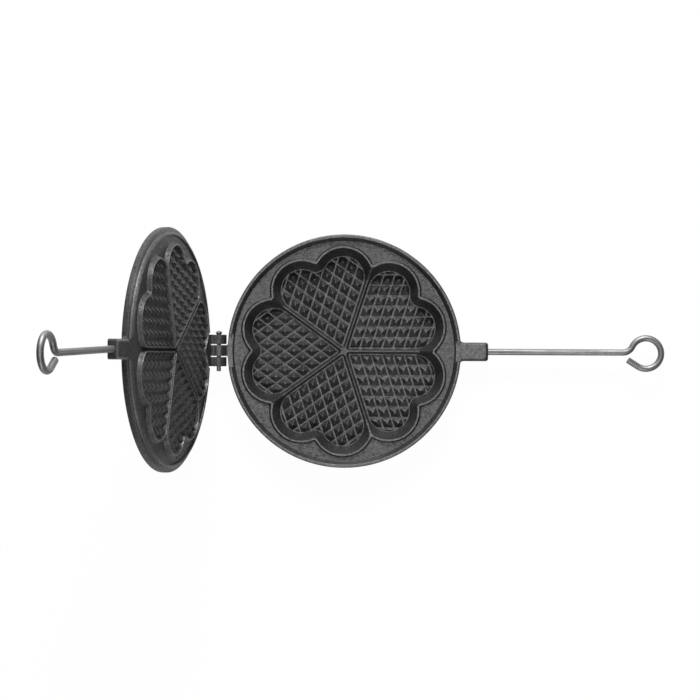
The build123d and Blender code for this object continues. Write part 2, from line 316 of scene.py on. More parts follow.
def evaluated(carrier: bpy.types.Object) -> bpy.types.Mesh:
    """Applies an object's modifiers and removes the object.

    Args:
        carrier: The object, with its modifiers.

    Returns:
        The resulting plain mesh.
    """
    graph = bpy.context.evaluated_depsgraph_get()
    graph.update()
    mesh = bpy.data.meshes.new_from_object(carrier.evaluated_get(graph))
    mesh.name = carrier.name
    bpy.data.objects.remove(carrier)
    return mesh


# ---------------------------------------------------------------- finishes


class ShaderTree(Tree):
    """A material's tree with its Principled shader."""

    def __init__(self, name: str) -> None:
        """Makes a material with nothing but its output.

        Args:
            name: The material's name.
        """
        self.material = bpy.data.materials.new(name)
        self.material.use_nodes = True
        self.material.node_tree.nodes.clear()
        super().__init__(self.material.node_tree)
        self.place = self.node("ShaderNodeTexCoord").outputs["Object"]

    def noise(
        self, scale: float, detail: float = 2.0, vector: Optional[bpy.types.NodeSocket] = None
    ) -> Sock:
        """A noise value from 0 to 1.

        Args:
            scale: Grains per metre.
            detail: Octaves.
            vector: The coordinates, or None for the object's own.

        Returns:
            The noise.
        """
        inputs = {"Vector": vector or self.place, "Scale": scale, "Detail": detail}
        return Sock(self, self.node("ShaderNodeTexNoise", inputs).outputs[0])

    def ramp(self, value: Sock, *stops: tuple[float, float]) -> Sock:
        """A value bent through a ramp's grey stops."""
        return Sock(self, self.node("ShaderNodeValToRGB", {0: value}, stops=stops).outputs[0])

    def blend(self, mask: Sock, dark: Colour, light: Colour) -> bpy.types.NodeSocket:
        """A colour between two, by a mask."""
        inputs = {"Factor": mask, 6: (*dark, 1.0), 7: (*light, 1.0)}
        return self.node("ShaderNodeMix", inputs, data_type="RGBA").outputs[2]

    def bump(self, height: Sock, distance: float, strength: float) -> bpy.types.NodeSocket:
        """A normal from a height, which is in units of distance, a length in metres."""
        inputs = {"Height": height, "Distance": distance, "Strength": strength}
        return self.node("ShaderNodeBump", inputs).outputs[0]

    def surface(self, inputs: dict[str, object]) -> bpy.types.Material:
        """Ends the tree in a Principled shader.

        Args:
            inputs: The shader's socket names and values.

        Returns:
            The finished material.
        """
        shader = self.node("ShaderNodeBsdfPrincipled", inputs)
        self.node("ShaderNodeOutputMaterial", {"Surface": shader.outputs[0]})
        return self.material


@dataclass(frozen=True)
class BrightBand:
    """A height band painted brighter on a casting, in millimetres of the shut iron: a painted highlight
    where flats and edges face the light, with some wear on the highest edges.
    """

    height: float
    band: float = 0.35
    share: float = 0.34


@dataclass(frozen=True)
class SeasonedIron:
    """Sand-cast iron, blackened by oil, with a fine grain, small pits and height bands painted brighter:
    a painted highlight, with some wear on the highest edges.
    """

    name: str = "seasoned_iron"
    bright_bands: tuple[BrightBand, ...] = ()
    dark: Colour = (0.024, 0.024, 0.025)
    light: Colour = (0.092, 0.092, 0.094)
    # colour of the painted highlight bands, partly wear on the highest edges
    wear_and_highlight: Colour = (0.22, 0.22, 0.22)
    metallic: float = 0.66
    roughness: float = 0.46
    patch_roughness: float = 0.16
    speckle_polish: float = 0.1
    band_polish: float = 0.08
    grain_scale: float = 850.0
    coarse_scale: float = 323.0
    patch_scale: float = 34.0
    speckle_stops: Stops = ((0.40, 0.0), (0.60, 1.0))
    patch_stops: Stops = ((0.35, 0.0), (0.65, 1.0))
    pit_stops: Stops = ((0.28, 0.0), (0.42, 1.0))
    grain_share: float = 0.7
    speckle_share: float = 0.75
    band_least: float = 0.6
    band_speckle: float = 0.5
    relief: tuple[float, float, float] = (0.55, 0.35, 0.3)
    grain_depth: float = 0.0005
    grain_strength: float = 0.85

    def material(self) -> bpy.types.Material:
        """The finish as a material, which reads the casting's own shut coordinates.

        Returns:
            The material.
        """
        tree = ShaderTree(self.name)
        place = tree.node("ShaderNodeAttribute", attribute_name="cast_place").outputs["Vector"]
        grain = tree.noise(self.grain_scale, 3.0, place)
        coarse = tree.noise(self.coarse_scale, 2.0, place)
        patch = tree.noise(self.patch_scale, 3.0, place)
        mixed = grain * self.grain_share + coarse * (1 - self.grain_share)
        speckle = tree.ramp(mixed, *self.speckle_stops)
        stain = tree.ramp(patch, *self.patch_stops)
        mask = speckle * self.speckle_share + stain * (1 - self.speckle_share)
        pits = tree.ramp(coarse, *self.pit_stops)
        fine, rough, pitted = self.relief
        bump = grain * fine + coarse * rough + pits * pitted
        height = Sock(tree, tree.node("ShaderNodeSeparateXYZ", {0: place}).outputs["Z"])
        # painted highlight in bands at the given heights, with some wear on the highest edges: it
        # lightens the base colour and lowers the roughness
        wear_and_highlight_mask = Sock(tree, tree.node("ShaderNodeValue").outputs[0])
        for crest in self.bright_bands:
            away = (height - crest.height * MM).size() / (crest.band * MM)
            wear_and_highlight_mask = wear_and_highlight_mask + (1.0 - away).clipped() * crest.share
        wear_and_highlight_mask = (wear_and_highlight_mask * (self.band_least + speckle * self.band_speckle)).clipped()
        dulled = self.roughness + (patch - 0.5) * self.patch_roughness
        body = tree.blend(mask, self.dark, self.light)
        wear_and_highlights = {0: wear_and_highlight_mask, 6: body, 7: (*self.wear_and_highlight, 1.0)}
        return tree.surface(
            {
                "Base Color": tree.node("ShaderNodeMix", wear_and_highlights, data_type="RGBA").outputs[2],
                "Metallic": self.metallic,
                "Roughness": dulled - (speckle - 0.5) * self.speckle_polish - wear_and_highlight_mask * self.band_polish,
                "Normal": tree.bump(bump, self.grain_depth, self.grain_strength),
            }
        )


@dataclass(frozen=True)
class DrawnWire:
    """Drawn stainless wire: bright, with fine lines along its length and a few dull rubs."""

    name: str = "drawn_wire"
    dark: Colour = (0.13, 0.13, 0.13)
    light: Colour = (0.27, 0.27, 0.267)
    roughness: float = 0.5
    line_scale: float = 900.0
    line_stretch: float = 0.012
    line_stops: Stops = ((0.36, 0.0), (0.58, 1.0))
    line_depth: float = 0.00004
    line_strength: float = 0.5
    rub_scale: float = 70.0
    rub_stops: Stops = ((0.45, 0.0), (0.7, 1.0))
    rub_roughness: float = 0.1

    def material(self) -> bpy.types.Material:
        """The finish as a material, which reads the wire's own length and section.

        Returns:
            The material.
        """
        tree = ShaderTree(self.name)
        along = Sock(tree, tree.node("ShaderNodeAttribute", attribute_name="along").outputs["Fac"])
        across = tree.node("ShaderNodeAttribute", attribute_name="across").outputs["Vector"]
        section = tree.node("ShaderNodeSeparateXYZ", {0: across}).outputs
        run = {0: along * self.line_stretch, 1: section[0], 2: section[1]}
        lines = tree.noise(self.line_scale, 4.0, tree.node("ShaderNodeCombineXYZ", run).outputs[0])
        rubs = tree.ramp(tree.noise(self.rub_scale), *self.rub_stops)
        return tree.surface(
            {
                "Base Color": tree.blend(tree.ramp(lines, *self.line_stops), self.dark, self.light),
                "Metallic": 1.0,
                "Roughness": self.roughness + rubs * self.rub_roughness,
                "Normal": tree.bump(lines, self.line_depth, self.line_strength),
            }
        )


@dataclass(frozen=True)
class DullSteel:
    """The pin's dull grey steel with turning marks."""

    name: str = "dull_steel"
    dark: Colour = (0.10, 0.10, 0.10)
    light: Colour = (0.30, 0.30, 0.30)
    metallic: float = 0.9
    roughness: float = 0.42
    ring_scale: float = 2200.0
    ring_stretch: Point3 = (0.1, 1.0, 0.1)
    ring_depth: float = 0.00004
    ring_strength: float = 0.5
    stain_scale: float = 420.0
    stain_stops: Stops = ((0.35, 0.0), (0.65, 1.0))
    stain_roughness: float = 0.2

    def material(self) -> bpy.types.Material:
        """The finish as a material.

        Returns:
            The material.
        """
        tree = ShaderTree(self.name)
        turned = tree.node("ShaderNodeMapping", {0: tree.place, 3: self.ring_stretch}).outputs[0]
        rings = tree.noise(self.ring_scale, 2.0, turned)
        stain = tree.noise(self.stain_scale, 3.0)
        return tree.surface(
            {
                "Base Color": tree.blend(tree.ramp(stain, *self.stain_stops), self.dark, self.light),
                "Metallic": self.metallic,
                "Roughness": self.roughness + (stain - 0.5) * self.stain_roughness,
                "Normal": tree.bump(rings, self.ring_depth, self.ring_strength),
            }
        )


# ---------------------------------------------------------------- outlines and skins


def polar(centre: Point2, radius: float, angle: float) -> Point2:
    """The point at a radius and an angle in degrees from a centre."""
    turn = math.radians(angle)
    return centre[0] + radius * math.cos(turn), centre[1] + radius * math.sin(turn)


def arc(centre: Point2, radius: float, start: float, end: float, steps: int) -> list[Point2]:
    """Points along an arc without its first one.

    Args:
        centre: The arc's centre.
        radius: Its radius.
        start: Its first angle in degrees.
        end: Its last angle in degrees.
        steps: How many points.

    Returns:
        The points after the first, up to and with the last.
    """
    return [polar(centre, radius, start + (end - start) * i / steps) for i in range(1, steps + 1)]


def circle(radius: float, sides: int) -> list[Point2]:
    """The corners of a round outline about the origin."""
    return [polar((0.0, 0.0), radius, 360 * i / sides) for i in range(sides)]


def mirrored(half: Sequence[Point2]) -> list[Point2]:
    """Half an outline's image across the X axis, in the order that closes the outline."""
    return [(x, -y) for x, y in reversed(half)]


def bearing(start: Point2, end: Point2) -> float:
    """The angle in degrees from one point to another."""
    return math.degrees(math.atan2(end[1] - start[1], end[0] - start[0]))


def rounded(corners: Sequence[Point2], radii: Sequence[float], step: float = 20.0) -> list[Point2]:
    """A polyline with its inner corners rounded.

    Args:
        corners: The polyline's points.
        radii: One radius for each corner between the first and the last.
        step: The most that one piece of a rounding turns, in degrees.

    Returns:
        The finer polyline.
    """
    line = [corners[0]]
    for before, here, after, radius in zip(corners, corners[1:], corners[2:], radii):
        back, on = bearing(here, before), bearing(here, after)
        opening = (on - back + 180) % 360 - 180
        reach = radius / math.tan(abs(math.radians(opening)) / 2)
        centre = polar(here, math.hypot(radius, reach), back + opening / 2)
        first = bearing(centre, polar(here, reach, back))
        sweep = (bearing(centre, polar(here, reach, on)) - first + 180) % 360 - 180
        line.append(polar(centre, radius, first))
        line += arc(centre, radius, first, first + sweep, max(1, math.ceil(abs(sweep) / step)))
    return line + [corners[-1]]


@dataclass(frozen=True)
class HeartPlan:
    """The plan that both plates share, drawn with one heart's axis along +X."""

    count: int = 5
    ring_radius: float = 70.0
    lobe_angle: float = 17.0

    @property
    def rib_angle(self) -> float:
        """The angle from a heart's axis to the rib beside it, in degrees."""
        return 180.0 / self.count

    @property
    def lobe(self) -> Point2:
        """The centre of the heart's lobe on the +Y side."""
        return polar((0.0, 0.0), self.ring_radius, self.lobe_angle)

    @property
    def lobe_run(self) -> float:
        """How far along the rib the lobe's centre lies."""
        return self.ring_radius * math.cos(math.radians(self.rib_angle - self.lobe_angle))

    @property
    def lobe_off(self) -> float:
        """How far from the rib's line the lobe's centre lies."""
        return self.ring_radius * math.sin(math.radians(self.rib_angle - self.lobe_angle))

    def by_rib(self, run: float, off: float) -> Point2:
        """The point that lies run along the rib's line and off from it, on the heart's side."""
        return polar(polar((0.0, 0.0), run, self.rib_angle), off, self.rib_angle - 90)


@dataclass(frozen=True)
class HeartOutline:
    """One heart's outline; half of it is drawn, from the tip round to the notch, both on the axis."""

    plan: HeartPlan
    lobe_radius: float
    notch_radius: float
    side_half: float
    tip_round: float
    corner_round: float = 0.0

    def half(self, split: float, steps: Sequence[int]) -> list[Point2]:
        """The half outline on the +Y side.

        Args:
            split: An angle in degrees at which the lobe's arc surely has a point.
            steps: Points on the tip, side, corner, lobe to the split, lobe after it, and notch.

        Returns:
            The points, the first and the last on the axis.
        """
        plan, radius, half = self.plan, self.lobe_radius, self.side_half
        tip, side, corner, lobe_before, lobe_after, notch = steps
        leave = plan.rib_angle + 90
        middle = ((half + self.tip_round) / math.sin(math.radians(plan.rib_angle)), 0.0)
        points = [polar(middle, self.tip_round, 180.0)] + arc(middle, self.tip_round, 180.0, leave, tip)
        run, start = plan.lobe_run, leave
        if self.corner_round:
            off = half + self.corner_round
            run += math.sqrt((radius - self.corner_round) ** 2 - (plan.lobe_off - off) ** 2)
            start = bearing(plan.lobe, plan.by_rib(run, off))
        end = plan.by_rib(run, half)
        begin = points[-1]
        for i in range(1, side + 1):
            share = i / side
            points.append(tuple(a + (b - a) * share for a, b in zip(begin, end)))
        if corner:
            turn = plan.by_rib(run, half + self.corner_round)
            points += arc(turn, self.corner_round, leave, start, corner)
        notch_x = plan.lobe[0] + math.sqrt((radius + self.notch_radius) ** 2 - plan.lobe[1] ** 2)
        leave_lobe = bearing(plan.lobe, (notch_x, 0.0))
        points += arc(plan.lobe, radius, start, split, lobe_before)
        points += arc(plan.lobe, radius, split, leave_lobe, lobe_after)
        points += arc((notch_x, 0.0), self.notch_radius, leave_lobe + 180, 180.0, notch)
        return points


@dataclass(frozen=True)
class FlowerOutline:
    """The outline round all the hearts; half a heart's share is drawn, from a rib's end to the notch."""

    plan: HeartPlan
    lobe_radius: float
    notch_round: float
    cusp_round: float

    def half(self, steps: Sequence[int]) -> list[Point2]:
        """The share of the outline on the +Y side of a heart.

        Args:
            steps: Points on the cusp, the lobe and the notch.

        Returns:
            The points from the rib's line to the heart's axis.
        """
        plan, radius, round_off = self.plan, self.lobe_radius, self.cusp_round
        cusp, lobe, notch = steps
        run = plan.lobe_run + math.sqrt((radius + round_off) ** 2 - plan.lobe_off**2)
        centre = plan.by_rib(run, 0.0)
        back = plan.rib_angle + 180
        join = bearing(centre, plan.lobe) % 360
        points = [polar(centre, round_off, back)] + arc(centre, round_off, back, join, cusp)
        notch_x = plan.lobe[0] + math.sqrt((radius + self.notch_round) ** 2 - plan.lobe[1] ** 2)
        leave = bearing(plan.lobe, (notch_x, 0.0))
        points += arc(plan.lobe, radius, join - 180, leave, lobe)
        points += arc((notch_x, 0.0), self.notch_round, leave + 180, 180.0, notch)
        return points


def at_height(points: Sequence[Point2], height: float) -> list[Vector]:
    """Plan points lifted to one height."""
    return [Vector((x, y, height)) for x, y in points]


@dataclass
class Skin:
    """A surface that is gathered row by row, in millimetres."""

    vertices: list[Vector] = field(default_factory=list)
    faces: list[list[int]] = field(default_factory=list)

    def fill(self, loop: Sequence[Vector]) -> None:
        """Adds one face.

        Args:
            loop: Its corners.
        """
        start = len(self.vertices)
        self.vertices += loop
        self.faces.append(list(range(start, start + len(loop))))

    def strip(self, rows: Sequence[Sequence[Vector]]) -> None:
        """Adds the faces between rows.

        Args:
            rows: Rows of equally many points.
        """
        for near, far in zip(rows, rows[1:]):
            for i in range(len(near) - 1):
                self.fill([near[i], near[i + 1], far[i + 1], far[i]])

    def stack(self, rings: Sequence[Sequence[Vector]]) -> None:
        """Adds the closed body through rings.

        Args:
            rings: Rings of equally many points, from one end to the other.
        """
        self.strip([[*ring, ring[0]] for ring in rings])
        self.fill(rings[0][::-1])
        self.fill(rings[-1])

    def mirror(self) -> None:
        """Adds the mirror image across the XZ plane."""
        shift = len(self.vertices)
        self.vertices += [Vector((v.x, -v.y, v.z)) for v in self.vertices]
        self.faces += [[i + shift for i in reversed(face)] for face in self.faces]

    def mesh(self, name: str, place: Optional[Matrix] = None) -> bpy.types.Mesh:
        """Welds the surface and turns its faces outwards.

        Args:
            name: The mesh's name.
            place: What moves the points, in millimetres, or None.

        Returns:
            The mesh, in metres.
        """
        mesh = bpy.data.meshes.new(name)
        points = [place @ v for v in self.vertices] if place else self.vertices
        mesh.from_pydata([v * MM for v in points], [], self.faces)
        return welded(mesh)


def prism(
    name: str, outline: Sequence[Point2], low: float, high: float, place: Optional[Matrix] = None
) -> bpy.types.Mesh:
    """A closed upright prism.

    Args:
        name: The mesh's name.
        outline: Its closed outline in plan.
        low: Its lower height.
        high: Its upper height.
        place: What moves it, in millimetres, or None.

    Returns:
        The mesh, in metres.
    """
    skin = Skin()
    skin.stack([at_height(outline, low), at_height(outline, high)])
    return skin.mesh(name, place)


def welded(mesh: bpy.types.Mesh) -> bpy.types.Mesh:
    """Merges a mesh's doubles and turns its faces outwards.

    Args:
        mesh: The mesh, which is changed.

    Returns:
        The same mesh.
    """
    work = bmesh.new()
    work.from_mesh(mesh)
    bmesh.ops.remove_doubles(work, verts=work.verts, dist=0.002 * MM)
    bmesh.ops.dissolve_degenerate(work, edges=work.edges, dist=0.001 * MM)
    bmesh.ops.recalc_face_normals(work, faces=work.faces)
    work.to_mesh(mesh)
    work.free()
    return mesh


def merged(mesh: bpy.types.Mesh) -> bpy.types.Mesh:
    """Joins the faces of a mesh that lie in one plane.

    Args:
        mesh: The mesh, which is changed.

    Returns:
        The same mesh.
    """
    work = bmesh.new()
    work.from_mesh(mesh)
    bmesh.ops.dissolve_limit(work, angle_limit=math.radians(1.0), verts=work.verts, edges=work.edges)
    work.to_mesh(mesh)
    work.free()
    return mesh


def joined(name: str, *meshes: bpy.types.Mesh) -> bpy.types.Mesh:
    """One mesh that holds several.

    Args:
        name: The new mesh's name.
        meshes: What it holds.

    Returns:
        The new mesh.
    """
    work = bmesh.new()
    for mesh in meshes:
        work.from_mesh(mesh)
    whole = bpy.data.meshes.new(name)
    work.to_mesh(whole)
    work.free()
    return whole


def softened(
    mesh: bpy.types.Mesh, width: float, steps: int = 2, angle: float = 28.0
) -> bpy.types.Mesh:
    """Rounds a mesh's sharp edges.

    Args:
        mesh: The closed mesh.
        width: The rounding's width in millimetres.
        steps: Faces across each rounding.
        angle: The least edge angle that is rounded, in degrees.

    Returns:
        The new mesh.
    """
    carrier = linked(mesh.name, mesh)
    bevel = carrier.modifiers.new("edges", "BEVEL")
    bevel.width = width * MM
    bevel.segments = steps
    bevel.limit_method = "ANGLE"
    bevel.angle_limit = math.radians(angle)
    bevel.miter_outer = "MITER_ARC"
    return evaluated(carrier)


def combined(mesh: bpy.types.Mesh, how: Join, *tools: bpy.types.Mesh) -> bpy.types.Mesh:
    """Adds tools to a casting or cuts them from it.

    Args:
        mesh: The casting.
        how: Whether the tools are added or cut away.
        tools: The closed tool meshes.

    Returns:
        The new mesh.
    """
    carrier = linked(mesh.name, mesh)
    helpers = []
    for tool in tools:
        helper = linked("tool", tool)
        modifier = carrier.modifiers.new("join", "BOOLEAN")
        modifier.operation = how.value
        modifier.solver = "EXACT"
        modifier.object = helper
        helpers.append(helper)
    result = evaluated(carrier)
    for helper in helpers:
        bpy.data.objects.remove(helper)
    return result


def finished(
    mesh: bpy.types.Mesh, material: bpy.types.Material, angle: float = 38.0
) -> bpy.types.Mesh:
    """Shades a mesh smooth with its flats kept flat, and gives it one material.

    Args:
        mesh: The piece's whole mesh.
        material: Its finish.
        angle: Edges sharper than this, in degrees, stay sharp.

    Returns:
        The mesh to show.
    """
    mesh.materials.clear()
    mesh.materials.append(material)
    for face in mesh.polygons:
        face.material_index = 0
    mesh.shade_smooth()
    mesh.set_sharp_from_angle(angle=math.radians(angle))
    carrier = linked(mesh.name, mesh)
    weighted = carrier.modifiers.new("flats", "WEIGHTED_NORMAL")
    weighted.keep_sharp = True
    weighted.weight = 90
    return evaluated(carrier)


def in_metres(place: Matrix) -> Matrix:
    """A placing in millimetres, for a mesh in metres."""
    return Matrix.Translation(place.to_translation() * MM) @ place.to_3x3().to_4x4()


def marked(mesh: bpy.types.Mesh) -> bpy.types.Mesh:
    """Writes each point's place into the mesh, for a finish that stays with the turned casting.

    Args:
        mesh: The shut casting's mesh, which is changed.

    Returns:
        The same mesh.
    """
    layer = mesh.attributes.new("cast_place", "FLOAT_VECTOR", "POINT")
    for spot, vertex in zip(layer.data, mesh.vertices):
        spot.vector = vertex.co
    return mesh


def place_piece(
    name: str, mesh: bpy.types.Mesh, body: Body, node: str
) -> bpy.types.Object:
    """Puts a finished piece into the scene in place of its CAD node.

    Args:
        name: The piece's name.
        mesh: Its finished mesh.
        body: The body it rides on.
        node: The CAD node it stands for.

    Returns:
        The piece.
    """
    piece = linked(name, mesh)
    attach(piece, body.value)
    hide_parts(node)
    LOG.info("%s: %d faces, for node %s", name, len(mesh.polygons), node)
    return piece


# ---------------------------------------------------------------- what both plates use


@dataclass(frozen=True)
class Hinge:
    """The hinge's place and its knuckles."""

    reach: float = 118.4
    height: float = 14.2
    opening: float = 104.9
    knuckle_radius: float = 7.3
    knuckle_width: float = 8.8
    middle_width: float = 10.2
    knuckle_step: float = 10.5
    knuckle_edge: float = 0.45
    pin_radius: float = 2.0
    clearance: float = 0.05
    bore_sides: int = 48

    @property
    def opened(self) -> Matrix:
        """What turns a shut piece of the upper plate to its resting place.

        Returns:
            The placing, in millimetres.
        """
        axis = Vector((-self.reach, 0.0, self.height))
        turn = Matrix.Rotation(math.radians(-self.opening), 4, "Y")
        return Matrix.Translation(axis) @ turn @ Matrix.Translation(-axis)

    def upright(self, middle: float) -> Matrix:
        """What stands a plan up on the pin's axis, with its middle at a place along Y."""
        place = Matrix.Translation((-self.reach, middle, self.height))
        return place @ Matrix.Rotation(math.pi / 2, 4, "X")

    def slab(self, outline: Sequence[Point2], middle: float, width: float) -> bpy.types.Mesh:
        """A knuckle with what is cast to it.

        Args:
            outline: Points along X and Z from the pin's axis.
            middle: The knuckle's middle along Y.
            width: Its width along Y.

        Returns:
            The knuckle's mesh.
        """
        mesh = prism("knuckle", outline, -width / 2, width / 2, self.upright(middle))
        return softened(mesh, self.knuckle_edge, angle=40.0)

    def bore(self, width: float) -> bpy.types.Mesh:
        """The tool that cuts the pin's bore.

        Args:
            width: Its length along Y.

        Returns:
            The tool's mesh.
        """
        ring = circle(self.pin_radius + self.clearance, self.bore_sides)
        return prism("bore", ring, -width / 2, width / 2, self.upright(0.0))


def root_flare(half: float, radius: float, side: int, low: float, high: float) -> bpy.types.Mesh:
    """The flare where a lug or web grows out of the rim.

    Args:
        half: Half the lug's width.
        radius: The flare's rounding.
        side: 1 for +X or -1 for -X.
        low: Its lower height.
        high: Its upper height.

    Returns:
        The flare's mesh.
    """
    rim, inner, sink, overlap = 109.9, 107.6, 0.2, 1.0
    centre = (math.sqrt((rim + radius) ** 2 - (half + radius) ** 2), half + radius)
    leave = bearing((0.0, 0.0), centre)
    start = polar(centre, radius, leave + 180)
    edge = [(inner, start[1] - sink), start] + arc(centre, radius, leave + 180, 270.0, 6)
    edge.append((edge[-1][0] + overlap, half))
    return prism("root_flare", [(x * side, y) for x, y in edge + mirrored(edge)], low, high)


@dataclass(frozen=True)
class Lug:
    """The handle's lug, with its wire."""

    reach: float = 135.8
    width: float = 17.6
    thickness: float = 10.3
    root: float = 107.3
    root_round: float = 3.5
    end_round: float = 2.5
    slope_run: float = 2.3
    slope_drop: float = 2.0
    edge_round: float = 0.5
    wire_radius: float = 3.0
    wire_depth: float = 6.0
    socket_depth: float = 22.0
    socket_past: float = 2.0
    socket_sides: int = 40
    clearance: float = 0.05

    def block(
        self, low: float, high: float, sloped: int, root_low: float, root_high: float
    ) -> bpy.types.Mesh:
        """The lug, its sides drawn in towards its parting face and flared where it leaves the rim.

        Args:
            low: Its underside's height.
            high: Its top's height.
            sloped: Where its parting face is: 1 on top, -1 underneath.
            root_low: The flare's lower height.
            root_high: The flare's upper height.

        Returns:
            The lug's mesh.
        """
        half = self.width / 2
        rings = []
        levels = [(0.0, low), (0.0, high - self.slope_drop), (self.slope_run, high)]
        if sloped < 0:
            levels = [(inset, low + high - height) for inset, height in reversed(levels)]
        for inset, height in levels:
            end, edge = self.reach - inset, half - inset
            side = rounded([(self.root, edge), (end, edge), (end, 0.0)], [self.end_round], 16.0)[:-1]
            rings.append(at_height(side + mirrored(side), height))
        skin = Skin()
        skin.stack(rings)
        flare = root_flare(half, self.root_round, 1, root_low, root_high)
        whole = merged(combined(skin.mesh("lug"), Join.ADD, flare))
        return softened(whole, self.edge_round, angle=30.0)

    def wire_plane(self, height: float, lean: float = 0.0, skew: float = 0.0) -> Matrix:
        """The wire's own frame: its origin on the lug's end, +X out along the wire.

        Args:
            height: The wire's height.
            lean: How far it tips towards +Z, in degrees.
            skew: How far it turns towards +Y, in degrees.

        Returns:
            The frame, in millimetres.
        """
        tipped = Matrix.Rotation(math.radians(-lean), 4, "Y")
        askew = tipped @ Matrix.Rotation(math.radians(skew), 4, "Z")
        return Matrix.Translation((self.reach, 0, height)) @ askew

    def socket(self, frame: Matrix) -> bpy.types.Mesh:
        """The tool that cuts the blind hole of a wire.

        Args:
            frame: The wire's own frame.

        Returns:
            The tool's mesh.
        """
        ring = circle(self.wire_radius + self.clearance, self.socket_sides)
        lying = frame @ Matrix.Rotation(math.pi / 2, 4, "Y")
        return prism("socket", ring, -self.socket_depth, self.socket_past, lying)


def rim_block(
    inner: float, outer: float, half: float, side: int, low: float, high: float
) -> bpy.types.Mesh:
    """A piece of a ring within a strip along the X axis.

    Args:
        inner: The ring's inner radius.
        outer: Its outer radius.
        half: Half the strip's width.
        side: 1 for +X or -1 for -X.
        low: The lower height.
        high: The upper height.

    Returns:
        The block's mesh.
    """
    count = 12
    outline = []
    for radius, turn in ((outer, 1), (inner, -1)):
        end = turn * math.degrees(math.asin(half / radius))
        outline += [polar((0, 0), radius, end - 2 * end * i / count) for i in range(count + 1)]
    return prism("rim_block", [(x * side, y) for x, y in outline], low, high)


